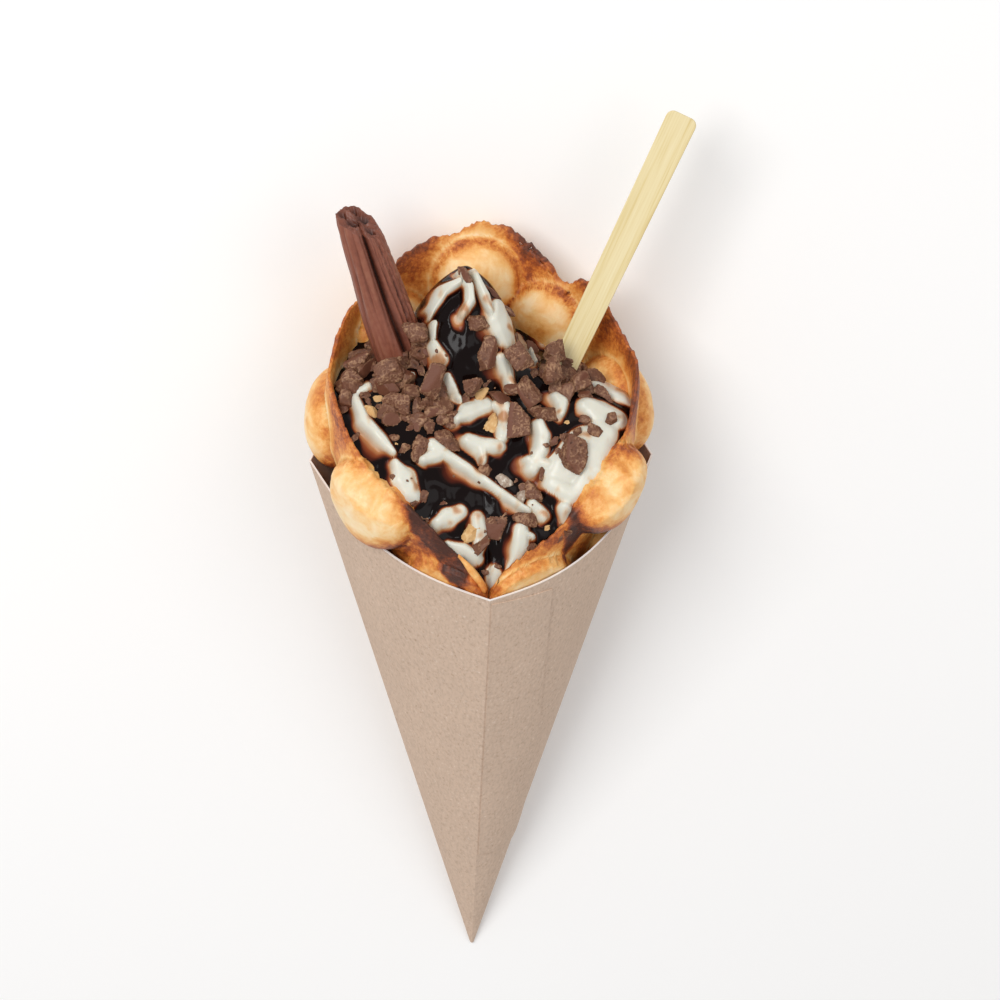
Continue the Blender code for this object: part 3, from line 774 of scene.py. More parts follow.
cream = {
    "peak": Vector((-0.006, 0.016, 0.306)),
    "middle": Vector((-0.006, 0.008, 0.277)),  # of the lower heap, without the dollop on top
    "facing": Vector((0.0, -0.794, 0.608)).normalized(),  # the way the open side of the heap looks
    "belowRim": 0.006,
    # depth, angle and width in degrees: behind, on the right and on the left
    "dips": ((0.042, 180, 31), (0.018, 112, 24), (0.015, 136, 18), (0.008, -112, 18)),
    "dollopSides": 0.0215,
    "dollopFront": 0.028,
    "evenedOver": range(-27, 28, 9),  # degrees
    "bottom": 0.170,
    "columns": 364,
    "rows": 132,
    "skirtRows": 8,
    "crestHeight": 0.0040,
    "crestLean": 0.25,  # how far a crest leans up and to the right, as a share of its height
    "peakRelief": 0.8,  # how much deeper the grooves between the petals on top are
    "sauceThickness": 0.0011,
    "sauceSkin": 0.0005,
    # over how many mm from a crest the sauce gets deep: where it ends sharply, and what a thin side adds
    "sharpOver": 1.3,
    "thinOver": 9.0,
    "sauceFrom": 0.22,  # thinner than this, the sauce only stains the cream
    "merge": 0.000005,  # corners closer together than this become one
    "froth": {"Scale": lumpScale(1.4286), "Detail": 3},
    "ripples": {"Scale": lumpScale(6.25), "Detail": 2},
    # crests that stay bare of sauce: points to the right of the peak, down the face and half width, in mm
    "crests": {
        "leftPetal": ((-3.4, 6.5, 1.6), (-9.0, 9.0, 2.5), (-12.6, 15.0, 1.8), (-13.5, 18.8, 0.7)),
        "middlePetal": ((-2.8, 2.8, 1.0), (0.6, 8.6, 1.7), (0.9, 13.8, 1.9), (-2.2, 19.1, 1.0)),
        "rightPetal": ((2.3, 2.2, 0.9), (4.1, 6.7, 1.5), (6.8, 12.4, 1.7), (8.3, 17.6, 1.0)),
        "rightFace": ((11.6, 14.8, 2.6), (12.4, 20.2, 4.6), (14.6, 27.4, 3.2), (15.6, 30.2, 1.6)),
        "leftDrop": ((-12.8, 28.8, 1.8), (-9.4, 34.4, 1.9)),
        "leftStreak": ((-7.9, 40.4, 1.3), (-5.6, 44.9, 1.3), (-3.0, 49.4, 0.7)),
        "leftTouch": ((-12.0, 21.2, 1.2), (-12.6, 26.2, 0.9)),
        "rightStreak": ((12.2, 34.0, 1.9), (14.3, 38.5, 2.4), (16.0, 44.0, 1.6)),
        "rightRim": ((22.5, 20.2, 0.8), (24.8, 26.2, 0.9), (25.9, 33.5, 0.8)),
        "upperLobe": ((-4.4, 56.2, 1.4), (-0.6, 53.3, 3.3), (6.2, 50.6, 2.7)),
        "upperHook": ((9.6, 50.6, 1.6), (13.3, 52.3, 2.8), (13.6, 57.6, 2.8), (12.0, 62.8, 2.0)),
        "middleStar": ((-0.6, 63.6, 2.0), (4.0, 66.2, 3.4), (10.9, 66.2, 2.0)),
        "middleTail": ((4.0, 66.2, 2.6), (4.3, 71.8, 1.2)),
        "longHead": ((-17.2, 71.2, 1.6), (-12.4, 68.8, 3.0)),
        "longRidge": (
            (-13.9, 65.8, 2.4),
            (-8.3, 69.9, 2.0),
            (-1.5, 74.2, 1.8),
            (3.8, 78.4, 1.6),
            (13.1, 85.2, 1.5),
            (20.5, 90.2, 1.1),
        ),
        "fallRight": ((25.5, 58.2, 2.0), (26.6, 62.8, 2.7), (25.8, 67.6, 2.9), (22.5, 74.2, 2.4)),
        "bandWedge": ((31.8, 47.6, 1.6), (34.3, 50.3, 2.2), (33.6, 54.9, 1.2)),
        "bandEnd": ((43.2, 51.0, 2.8), (48.5, 54.4, 4.6), (54.5, 57.2, 3.6)),
        "bandTouch": ((38.4, 44.0, 1.6), (42.0, 42.3, 1.6)),
        "rightField": ((49.0, 62.0, 5.2), (42.2, 69.0, 9.2), (33.0, 75.5, 6.2)),
        "rightFoot": ((30.0, 80.6, 3.6), (36.8, 84.6, 3.4), (44.0, 77.0, 5.0)),
        "lowBandLeft": ((22.0, 87.6, 1.7), (25.8, 91.8, 2.2)),
        "lowBandRight": ((33.8, 89.6, 2.4), (36.8, 93.4, 2.6)),
        "leftRidge": ((-41.6, 47.1, 1.8), (-38.5, 55.4, 2.3), (-32.6, 62.8, 2.1), (-28.2, 68.6, 1.2)),
        "leftField": ((-27.6, 72.4, 1.6), (-24.6, 78.0, 4.4), (-22.4, 84.2, 3.4)),
        "leftTop": ((-40.5, 44.5, 1.8), (-36.8, 42.6, 1.8)),
        "leftEdge": ((-48.4, 58.3, 1.4), (-46.4, 62.6, 1.4)),
        "lowerLobe": ((-12.6, 94.4, 2.2), (-8.6, 92.2, 3.6), (-4.3, 90.3, 2.4)),
        "lowerHook": ((1.9, 92.8, 2.4), (3.4, 99.4, 2.6), (1.5, 105.0, 1.8)),
        "lowerLeft": ((-9.0, 102.2, 1.4), (-3.8, 104.6, 2.8), (1.3, 107.2, 2.4)),
        "lowerFall": ((17.8, 97.0, 2.5), (17.6, 102.9, 2.8), (16.1, 109.1, 2.7), (13.3, 114.3, 2.2)),
        "lowerSpur": ((17.8, 98.4, 1.8), (21.6, 99.6, 1.2)),
        "underChunks": ((-26.4, 37.6, 1.5), (-20.4, 39.2, 1.3)),
        "besideFlake": ((-27.6, 27.6, 2.6), (-25.0, 31.2, 2.4)),
        "lowerRight": ((26.4, 109.0, 2.6), (31.4, 103.6, 2.6)),
        "rightEdge": ((46.0, 39.5, 2.4), (53.0, 44.0, 2.8), (60.0, 48.5, 2.8)),
        "underRight": ((21.0, 71.5, 1.6), (27.5, 73.5, 2.2)),
        "foot": ((7.6, 111.6, 2.4), (9.4, 116.0, 2.6)),
    },
}
faceRight = Vector((1, 0, 0))
faceUp = cream["facing"].cross(faceRight)


def creamEdgeHeight(angle, evened=0.0):
    # just under the crust's rim, and lower where the inside of the crust shows
    share = np.sqrt(wrap(angle) ** 2 + evened**2) / math.pi
    rim = waffle["frontRim"] + (waffle["backRim"] - waffle["frontRim"]) * share ** waffle["rimPower"]
    dips = sum(depth * bump(angle, middle, width) for depth, middle, width in cream["dips"])
    return rim - cream["belowRim"] - dips - frontDips(angle)


def crestReach(right, down):
    # distance from the nearest crest in its half widths, distance from its border in mm, and how much a place
    # lies on the lower left side of the crests round it
    reach = np.full(len(right), 9.0)
    beyond = np.full(len(right), 9.0)
    lowerSide = np.zeros(len(right))
    weights = np.full(len(right), 1e-9)
    for points in cream["crests"].values():
        for start, end in zip(points, points[1:]):
            run = np.array(end[:2]) - np.array(start[:2])
            share = np.clip(((right - start[0]) * run[0] + (down - start[1]) * run[1]) / run.dot(run), 0, 1)
            awayRight = right - start[0] - share * run[0]
            awayDown = down - start[1] - share * run[1]
            width = start[2] + (end[2] - start[2]) * share
            away = np.hypot(awayRight, awayDown)
            side = (0.62 * awayDown - 0.78 * awayRight) / np.maximum(away, 1e-6)
            beyond = np.minimum(beyond, away - width)
            reach = np.minimum(reach, away / width)
            weight = np.exp((width - away) / 0.7)
            lowerSide += weight * side
            weights += weight
    return reach, beyond, lowerSide / weights


def creamBase(angle, share):
    # the heap without its crests: a lower heap that meets the crust, and a dollop on top of it
    # its plan is round in the middle and takes up the crust's corners only near the edge
    edgeHeight = creamEdgeHeight(angle)
    evenHeight = creamEdgeHeight(angle, 0.35)
    turns = [angle + math.radians(step) for step in cream["evenedOver"]]
    evenRadius = np.mean([middleRadius(turned, evenHeight) for turned in turns], axis=0)
    atEdge = (share**8)[:, None]
    edge = at(angle, evenRadius, evenHeight) * (1 - atEdge)
    edge = edge + at(angle, middleRadius(angle, edgeHeight), edgeHeight) * atEdge
    edgeHeight = edge[:, 2]
    middle = np.array(cream["middle"])
    points = middle + (edge - middle) * share[:, None]
    power = 1.22 + 0.10 * np.cos(angle)
    low = middle[2] + (edgeHeight - middle[2]) * share**power
    sideways = (points[:, 0] - cream["peak"].x) / cream["dollopSides"]
    ahead = points[:, 1] - cream["peak"].y
    along = ahead / np.where(ahead < 0, cream["dollopFront"], cream["dollopSides"])
    reach = np.minimum(1, np.hypot(sideways, along))
    points[:, 2] = low + (cream["peak"].z - low) * (1 - reach**1.5) ** 0.8
    return points


def columnAngle(share):
    # columns stand closer in front
    turn = share * 2 - 1
    return math.pi * (0.66 * turn + 0.34 * turn**3)


def creamGrid(place):
    # share of the way from the peak to the edge, whether a corner is in the skirt, whose rows go under the
    # heap, and how far up the skirt it is
    row = place[:, 1] * (cream["rows"] + cream["skirtRows"])
    under = row < cream["skirtRows"]
    share = np.where(under, 1, 1 - (row - cream["skirtRows"]) / cream["rows"])
    return share, under, row / cream["skirtRows"]


def saucedShape(angle, share):
    # points of the cream, the sauce's depth from -1 to 1 and the points of the sauce's skin
    base = creamBase(angle, share)
    away = base - np.array(cream["peak"])
    right = away @ np.array(faceRight) * 1000
    down = -(away @ np.array(faceUp)) * 1000
    place = np.stack((right, down, 0 * right), axis=-1)
    wander = uneven(place, 7.0, 2.0, 2)
    fine = uneven(place, 2.2, 6.0)
    reach, beyond, lowerSide = crestReach(right + 0.5 * wander, down + 0.5 * uneven(place, 6.0, 4.0))
    behind = smooth(base[:, 1], 0.020, 0.030)
    hidden = 1.1 + 1.5 * uneven(place, 9.0, 8.0)
    reach = reach * (1 - behind) + behind * hidden
    beyond = beyond * (1 - behind) + behind * (hidden - 1) * 2
    crest = 1 - smooth(reach, 0.35, 1.9)
    # the sauce runs thin over the lower left side of a crest and ends sharply on the other side
    # below zero it's bare cream, so that the border runs evenly from one row of corners to the next
    patchy = smooth(uneven(place, 9.0, 21.0), -0.5, 0.2)
    thinOver = cream["sharpOver"] + cream["thinOver"] * np.maximum(0, lowerSide) ** 1.5 * patchy
    depth = np.clip((beyond + 0.1 + 0.08 * fine) / thinOver * (0.92 + 0.12 * wander), -1, 1)
    stain = 0.19 * smooth(uneven(place, 5.0, 12.0, 2), 0.15, 0.75)
    depth = np.maximum(depth, stain)
    inside = smooth(share, 1.0, 0.93)
    lift = cream["crestHeight"] * (crest - 0.35) * (1 + cream["peakRelief"] * np.exp(-((down / 20) ** 2)))
    lift = lift * smooth(np.hypot(right, down), 0, 5) + 0.0007 * wander
    facing = np.array(cream["facing"])
    points = base + facing * (lift * inside)[:, None]
    lean = cream["crestLean"] * np.maximum(0, lift) * crest * inside
    points = points + np.array(faceUp * 0.8 + faceRight * 0.6) * lean[:, None]
    # where the sauce ends, its skin dips under the cream
    rise = depth - cream["sauceFrom"]
    thickness = cream["sauceThickness"] * np.sign(rise) * np.minimum(1, np.abs(rise)) ** 0.7
    skin = points + facing * (thickness * inside + 0.0001 * np.clip(20 * rise, -1, 1))[:, None]
    return points, depth, skin


def sauceRamp(tree, depth):
    # from bare cream over caramel and red-brown to almost black, as the sauce gets deeper
    stops = (
        (0.0, "#d6d4c6"),
        (0.08, "#d5c5ac"),
        (0.20, "#b67f52"),
        (0.36, "#834123"),
        (0.54, "#4c1c0f"),
        (0.74, "#1e0c08"),
        (0.95, "#100706"),
    )
    return fillRamp(addNode(tree, "ValToRGB", {"Fac": depth}), stops)


def creamMaterial():
    # whipped milk fat: soft white, faintly translucent, with a low wet gloss; its froth is drawn coarser than
    # it is, so that it breaks the gloss
    material, tree, shader = newMaterial("soft-serve cream")
    depth = addNode(tree, "Attribute", attribute_name="sauceDepth").outputs["Fac"]
    tint = sauceRamp(tree, depth)
    place = addNode(tree, "TexCoord").outputs["Object"]
    froth = addNode(tree, "TexNoise", {"Vector": place, **cream["froth"]})
    raised = addNode(tree, "Bump", {"Height": froth.outputs["Fac"], "Strength": 0.25, "Distance": 0.0001})
    setInputs(tree, shader, {"Base Color": tint, "Normal": raised.outputs["Normal"], "Roughness": 0.36})
    setInputs(tree, shader, {"Subsurface Weight": 0.25, "Subsurface Radius": (0.004, 0.003, 0.002)})
    return material


def sauceMaterial():
    # dark chocolate syrup: wet and smooth, red-brown where it is thin
    material, tree, shader = newMaterial("chocolate syrup")
    depth = addNode(tree, "Attribute", attribute_name="sauceDepth").outputs["Fac"]
    tint = sauceRamp(tree, depth)
    place = addNode(tree, "TexCoord").outputs["Object"]
    ripple = addNode(tree, "TexNoise", {"Vector": place, **cream["ripples"]})
    raised = addNode(tree, "Bump", {"Height": ripple.outputs["Fac"], "Strength": 0.15, "Distance": 0.0003})
    setInputs(tree, shader, {"Base Color": tint, "Normal": raised.outputs["Normal"]})
    setInputs(tree, shader, {"Roughness": 0.14, "Specular IOR Level": 0.12})
    return material


def addCream():
    piece = addGrid("softServe", cream["columns"], cream["rows"] + cream["skirtRows"])
    place = corners(piece)
    angle = columnAngle(place[:, 0])
    share, under, skirt = creamGrid(place)
    points, depth, _ = saucedShape(angle, share)
    edge = creamBase(angle, np.ones(len(angle)))
    bottom = np.array((0, 0, cream["bottom"]))
    side = bottom + (edge - bottom) * (np.minimum(1, skirt) ** 0.5)[:, None] * np.array((1, 1, 0))
    side[:, 2] = cream["bottom"] + (edge[:, 2] - cream["bottom"]) * np.minimum(1, skirt) ** 2
    limit = middleRadius(angle, side[:, 2])
    radius = np.maximum(np.hypot(side[:, 0], side[:, 1]), 1e-9)
    side[:, :2] *= np.minimum(1, limit / radius)[:, None]
    points = np.where(under[:, None], side, points)
    storeValues(piece, "sauceDepth", np.where(under, 0, depth))
    moveCorners(piece, layDown(points))
    mergeCorners(piece, cream["merge"])
    piece.data.shade_smooth()
    return finishPiece(piece, [creamMaterial()], ("cream",))


def addSauce():
    piece = addGrid("chocolateSauce", cream["columns"], cream["rows"])
    place = corners(piece)
    _, depth, skin = saucedShape(columnAngle(place[:, 0]), 1 - place[:, 1])
    storeValues(piece, "sauceDepth", depth)
    moveCorners(piece, layDown(skin))
    # the faces that lie well inside the bare cream go
    bare = cream["sauceFrom"] - 0.25
    editMode(piece)
    selectWhere(piece, "faces", lambda face: max(depth[vert.index] for vert in face.verts) < bare)
    bpy.ops.mesh.delete(type="FACE")
    objectMode()
    mergeCorners(piece, cream["merge"])
    applyModifier(piece, "SOLIDIFY", thickness=cream["sauceSkin"], offset=-1)
    piece.data.shade_smooth()
    return finishPiece(piece, [sauceMaterial()])


softServe = addCream()
addSauce()
print("cream and sauce made")


chocolate = {
    "relief": 0.00042,  # depth of the ridges and pits
    "grain": {"Scale": lumpScale(1.111), "Detail": 4, "Roughness": 0.7},
    "patches": {"Scale": lumpScale(5.263), "Detail": 2},
    "sink": 0.30,  # share of a small chunk's thickness that lies in the cream
    # the CAD chunks: how many, how high their middles stand over the cream, how far they move for it at most
    "nodes": 20,
    "middleAbove": 0.0009,
    "mostShift": 0.0028,
    "edgeWidth": 0.0005,
    "voxel": 0.00026,
    # further broken chocolate, in mm: right of the peak, down the face, length, width, turn in degrees,
    # how far raised
    "chunks": (
        (-32.4, 29.8, 10.5, 8.0, 60, 2.5),
        (-26.0, 25.9, 8.0, 7.0, 0, 2.0),
        (-19.5, 20.8, 7.0, 5.2, 45, 1.5),
        (-15.2, 30.6, 7.0, 3.6, -40, 0.5),
        (-20.8, 31.9, 9.5, 4.4, -70, 0.5),
        (-26.4, 33.2, 8.5, 4.6, -35, 0.5),
        (-37.2, 36.0, 11.0, 8.5, 30, 1.0),
        (-45.6, 41.8, 7.0, 6.5, 0, 0.5),
        (-43.6, 46.5, 4.5, 3.6, 90, 0.0),
        (-46.4, 50.4, 5.5, 5.5, 20, 0.0),
        (-32.0, 37.5, 5.5, 3.6, 30, 2.5),
        (-33.5, 43.0, 8.5, 6.5, -10, 0.5),
        (-16.5, 37.0, 5.0, 4.2, 0, 0.5),
        (-37.2, 45.6, 4.2, 3.2, 0, 0.0),
        (-36.8, 49.0, 4.0, 3.6, 30, 0.0),
        (-32.4, 51.0, 3.0, 2.6, 0, 0.0),
        (-28.6, 56.4, 7.2, 6.5, 20, 0.0),
        (-23.0, 54.2, 4.6, 4.0, 0, 1.0),
        (-18.7, 51.6, 7.0, 3.8, 90, 1.0),
        (-19.5, 46.9, 4.6, 3.2, 20, 0.5),
        (-10.0, 49.5, 2.8, 2.3, 0, 0.0),
        (-15.2, 54.2, 4.2, 4.0, 40, 0.5),
        (-9.6, 55.5, 5.6, 5.0, 10, 0.5),
        (-12.2, 52.6, 3.4, 3.0, 60, 1.5),
        (-7.0, 58.0, 4.2, 3.6, -30, 0.3),
        (-1.0, 48.6, 4.2, 3.6, 50, 0.0),
        (18.9, 25.9, 5.2, 2.3, 80, 0.6),
        (26.3, 26.7, 7.6, 4.2, -55, 1.2),
        (31.9, 31.0, 7.0, 4.8, -50, 1.8),
        (39.6, 37.0, 10.0, 6.4, -50, 1.2),
        (21.1, 31.9, 4.2, 3.2, 0, 1.2),
        (24.4, 39.6, 4.8, 3.2, 80, 0.2),
        (35.9, 40.0, 7.5, 4.2, -70, 0.8),
        (44.5, 43.4, 7.5, 4.2, -50, 0.6),
        (49.6, 47.0, 9.5, 4.6, -45, 0.6),
        (43.5, 47.8, 6.0, 4.8, -20, 0.2),
        (6.9, 42.6, 4.0, 2.5, 50, 0.0),
        (11.6, 49.0, 9.0, 4.8, -20, 0.4),
        (16.4, 45.2, 6.2, 5.2, 30, 0.4),
        (22.6, 46.6, 11.5, 8.2, -60, 0.8),
        (42.2, 58.0, 4.6, 4.1, 0, 0.0),
        (52.0, 57.2, 5.5, 4.4, 40, 0.0),
        (45.5, 60.8, 6.6, 4.2, -30, 0.0),
        (-41.5, 62.0, 5.4, 3.0, 35, 0.0),
        (-28.6, 62.7, 5.2, 3.2, 5, 0.2),
        (-24.3, 67.5, 4.6, 4.2, 0, 0.2),
        (-17.6, 56.9, 9.0, 4.0, 5, 0.6),
        (-14.7, 60.3, 6.0, 4.0, 80, 0.4),
        (-18.0, 84.7, 4.6, 3.0, 70, 0.0),
        (-10.4, 87.5, 4.2, 3.0, 0, 0.0),
        (-17.1, 92.8, 4.6, 2.6, -30, 0.0),
        (5.1, 75.1, 8.2, 5.6, 65, 0.6),
        (26.0, 77.0, 6.0, 2.6, 75, 0.0),
        (31.1, 65.1, 4.6, 4.1, 15, 0.0),
        (34.4, 63.7, 4.0, 3.4, 60, 0.2),
        (38.9, 61.8, 4.6, 3.2, 80, 0.4),
        (33.5, 97.1, 5.0, 4.6, 0, 0.2),
        (30.6, 99.9, 4.2, 3.6, 40, 0.2),
        (22.0, 103.3, 4.6, 4.0, 20, 0.2),
        (25.4, 102.8, 3.6, 3.1, 70, 0.4),
        (3.4, 102.8, 7.8, 4.8, 45, 0.2),
        (24.0, 52.6, 5.6, 4.6, 30, 0.4),
        (18.4, 54.4, 4.8, 3.6, 70, 0.2),
        (20.6, 83.6, 7.0, 5.4, -20, 0.3),
        (-21.4, 58.6, 5.2, 4.4, 10, 0.4),
    ),
    "crumbs": (
        (-2.3, 1.9, 3.6, 2.2, 60, 0.4),
        (-0.2, 4.4, 7.0, 2.8, -60, 0.5),
        (6.7, 7.9, 4.4, 2.2, -50, 0.6),
        (9.9, 9.6, 10.0, 3.2, -42, 0.8),
        (15.1, 14.7, 8.6, 3.6, -27, 0.8),
        (27.1, 31.5, 4.0, 2.6, 70, 0.4),
        (-28.8, 77.5, 2.6, 2.2, 0, 0.0),
        (-21.4, 87.0, 3.0, 2.4, 0, 0.0),
        (-18.5, 88.5, 2.0, 1.9, 0, 0.0),
        (16.3, 78.9, 3.1, 2.6, 0, 0.0),
        (21.0, 80.9, 2.5, 2.0, 0, 0.3),
        (4.6, 112.0, 3.0, 2.3, 0, 0.0),
        (9.6, 110.0, 2.6, 2.2, 0, 0.0),
        (27.8, 66.4, 2.4, 2.0, 30, 0.0),
        (31.9, 68.8, 2.8, 1.8, 70, 0.0),
    ),
    "biscuits": (
        (-32.4, 47.8, 4.2, 3.6, 0, 0.4),
        (-35.9, 53.4, 7.2, 5.4, -25, 0.2),
        (-8.8, 37.9, 4.6, 1.9, 50, 0.8),
        (4.6, 46.9, 5.8, 4.8, 20, 0.2),
        (8.2, 57.7, 9.8, 6.4, 70, 0.2),
        (36.0, 58.1, 3.4, 2.9, 0, 0.0),
        (-27.4, 65.6, 3.1, 2.7, 0, 0.0),
        (-0.6, 98.5, 9.8, 6.2, 65, 0.2),
        (27.3, 97.1, 3.4, 3.0, 0, 0.0),
    ),
    # chocolate half sunk in cream
    "pebbles": ((11.5, 79.9, 7.6, 6.0, 20, -0.6), (17.7, 84.7, 7.0, 5.2, 80, -0.5)),
    # heaps of further chunks: middle, half width and half height, how many, most raised; in mm
    "heaps": (
        (-28, 40, 19, 15, 34, 3.5),
        (-25, 29, 12, 7, 14, 2.5),
        (37, 41, 14, 8, 16, 3.0),
        (-12, 56, 10, 6, 7, 1.5),
    ),
    "heapedSizes": (3.6, 8.0),
    "specks": 70,
    "speckSizes": (0.5, 1.5),
    "speckField": ((-42, 46), (16, 108)),  # mm to the right and down
    "cuts": 9,  # flat broken sides of a lump
    "finerFrom": 9.4,  # length in mm from which a chunk gets a finer mesh
}
laidRight, laidUp, laidFacing = (rootTurn @ v for v in (faceRight, faceUp, cream["facing"]))
heapSurface = BVHTree.FromObject(softServe, bpy.context.evaluated_depsgraph_get())


def surfaceBelow(place):
    # where the cream's surface lies under or over a place by the heap's open face, if it isn't far away
    found = heapSurface.ray_cast(place + laidFacing * 0.05, -laidFacing)[0]
    return found if found is not None and (found - place).length < 0.03 else None


def groundFor(right, down):
    # the place on the cream where a lump comes to rest: it slides down the face until there is cream under it
    for step in range(12):
        onFace = (faceRight * right - faceUp * (down + step)) / 1000
        found = surfaceBelow(layDownMatrix @ (cream["peak"] + onFace))
        if found is not None:
            return found


def faceAxes(turnDegrees, tilt):
    # columns: along a piece that lies on the face, across it and away from the face
    turned = Matrix((laidRight, laidUp, laidFacing)).transposed()
    return turned @ Matrix.Rotation(math.radians(turnDegrees), 3, "Z") @ tilt


def brokenShape(seed, subdivisions):
    # a lump as wide as 1, with flat broken sides
    bpy.ops.mesh.primitive_ico_sphere_add(subdivisions=subdivisions, radius=0.62, location=(0, 0, 0))
    piece = bpy.context.active_object
    points = corners(piece)
    chance = random.Random(seed)
    for _ in range(chocolate["cuts"]):
        side = Vector([chance.gauss(0, 1) for _ in range(3)]).normalized()
        over = points @ np.array(side) - chance.uniform(0.22, 0.42)
        points = points - np.maximum(0, over)[:, None] * np.array(side)
    moveCorners(piece, points / np.ptp(points, axis=0))
    return piece


def roughen(piece, depth, seed):
    # ridges and pits along the normals, kept as values for the colour
    points = corners(piece)
    normals = np.array([vert.normal for vert in piece.data.vertices])
    coarse = uneven(points, 0.0026, seed)
    middle = 1 - 2.4 * np.abs(uneven(points, 0.0012, seed + 3))
    fine = uneven(points, 0.0005, seed + 5)
    raised = 0.55 * coarse + 0.5 * middle + 0.45 * fine
    # one or two sides of it broke along the moulded face of the bar and are smooth
    chance = random.Random(seed)
    flat = np.zeros(len(points))
    for _ in range(chance.choice((0, 1, 1, 2))):
        side = Vector([chance.gauss(0, 0.7) for _ in range(3)]) + laidFacing * 0.9
        flat = np.maximum(flat, smooth(normals @ np.array(side.normalized()), 0.86, 0.93))
    relief = chocolate["relief"] * depth * raised * (1 - 0.8 * flat)
    moveCorners(piece, points + normals * relief[:, None])
    storeValues(piece, "raised", raised)
    storeValues(piece, "flat", flat)


def addLump(place, subdivisions, seed, thickShare=0.62, depth=1.0):
    # one broken lump of the lists above, lying on the heap: its thickness is a share of its width, and the
    # depth of its ridges a share of the full one
    right, down, length, width, turn, up = place
    chance = random.Random(seed)
    piece = brokenShape(seed, subdivisions)
    tilt = Matrix.Rotation(chance.uniform(-0.35, 0.35), 3, "X")
    tilt = tilt @ Matrix.Rotation(chance.uniform(-0.3, 0.3), 3, "Y")
    thick = width * thickShare
    scaled = corners(piece) * np.array((length, width, thick)) / 1000
    middle = groundFor(right, down) + laidFacing * (thick * (0.5 - chocolate["sink"]) + up) / 1000
    moveCorners(piece, scaled @ np.array(faceAxes(turn, tilt)).T + np.array(middle))
    roughen(piece, depth, seed * 1.7)
    piece.data.shade_smooth()
    return piece


def joinAs(name, made):
    # pieces of one kind become one piece, with its origin at the world's
    bpy.ops.object.select_all(action="DESELECT")
    for piece in made:
        piece.select_set(True)
    bpy.context.view_layer.objects.active = made[0]
    bpy.ops.object.join()
    joined = bpy.context.active_object
    joined.name = name
    joined.data.name = name
    bpy.ops.object.origin_set(type="ORIGIN_CURSOR")
    return joined


def crumbMaterial(name, dark, middle, light, smoothFace, roughness):
    # broken surfaces: dull, lighter on the ridges, and darker in the pits as painted shade
    material, tree, shader = newMaterial(name)
    raised = addNode(tree, "Attribute", attribute_name="raised").outputs["Fac"]
    place = addNode(tree, "TexCoord").outputs["Object"]
    grain = addNode(tree, "TexNoise", {"Vector": place, **chocolate["grain"]})
    patch = addNode(tree, "TexNoise", {"Vector": place, **chocolate["patches"]})
    grainShare = addNode(tree, "MapRange", {"Value": grain.outputs["Fac"], "To Min": -0.32, "To Max": 0.32})
    patchShare = addNode(tree, "MapRange", {"Value": patch.outputs["Fac"], "To Min": -0.15, "To Max": 0.15})
    # the colour follows the relief's height: darker in the pits, painted shade
    heightShare = addNode(tree, "MapRange", {"Value": raised, "From Min": -1.1, "From Max": 1.1})
    summed = addNode(tree, "Math", {0: grainShare.outputs[0], 1: patchShare.outputs[0]}, operation="ADD")
    total = addNode(tree, "Math", {0: summed.outputs[0], 1: heightShare.outputs[0]}, operation="ADD")
    tint = addNode(tree, "ValToRGB", {"Fac": total.outputs[0]})
    crumbly = fillRamp(tint, ((0.16, dark), (0.42, middle), (0.60, middle), (0.90, light)))
    flat = addNode(tree, "Attribute", attribute_name="flat").outputs["Fac"]
    faced = addNode(tree, "Mix", {0: flat, 6: crumbly, 7: linear(smoothFace)}, data_type="RGBA")
    raisedGrain = addNode(tree, "Bump", {"Height": grain.outputs["Fac"], "Strength": 0.6, "Distance": 0.0003})
    setInputs(tree, shader, {"Base Color": faced.outputs[2], "Normal": raisedGrain.outputs["Normal"]})
    setInputs(tree, shader, {"Roughness": roughness, "Specular IOR Level": 0.35})
    return material


def addNodeChunk(number, material):
    # the large chunks keep the shape of their CAD nodes and get broken, rough sides
    nodeName = f"chunk_{number:02d}"
    piece = copyNode(nodeName, f"chocolateChunk{number:02d}")
    edge = {"width": chocolate["edgeWidth"], "segments": 1, "angle_limit": math.radians(25)}
    applyModifier(piece, "BEVEL", limit_method="ANGLE", **edge)
    applyModifier(piece, "REMESH", mode="VOXEL", voxel_size=chocolate["voxel"])
    points = corners(piece)
    middle = Vector(points.mean(axis=0))
    found = surfaceBelow(middle)
    if found is not None:
        shift = (found - middle).dot(laidFacing) + chocolate["middleAbove"]
        shift = max(-chocolate["mostShift"], min(chocolate["mostShift"], shift))
        moveCorners(piece, points + np.array(laidFacing) * shift)
    roughen(piece, 1.0, number * 2.3)
    piece.data.shade_smooth()
    return finishPiece(piece, [material], (nodeName,))


def heapedChunks():
    # chunks at random in the heaps of the list above, higher in the middle of a heap
    chance = random.Random(77)
    for right, down, halfWidth, halfHeight, count, most in chocolate["heaps"]:
        for _ in range(count):
            turn, reach = chance.uniform(0, 2 * math.pi), chance.random() ** 0.6
            size = chance.uniform(*chocolate["heapedSizes"])
            place = (right + halfWidth * reach * math.cos(turn), down + halfHeight * reach * math.sin(turn))
            length, turned = size * chance.uniform(1.0, 1.4), chance.uniform(0, 180)
            yield (*place, length, size, turned, most * (1 - reach) * chance.random())


def specks():
    # tiny crumbs, scattered over the open face, each with its number
    chance = random.Random(41)
    across, downwards = chocolate["speckField"]
    for number in range(chocolate["specks"]):
        right, down = chance.uniform(*across), chance.uniform(*downwards)
        # the face narrows towards its foot
        if abs(right) < 50 - 0.5 * max(0, down - 45):
            size = chance.uniform(*chocolate["speckSizes"])
            yield (right, down, size * 1.2, size, chance.uniform(0, 180), 0.1), number


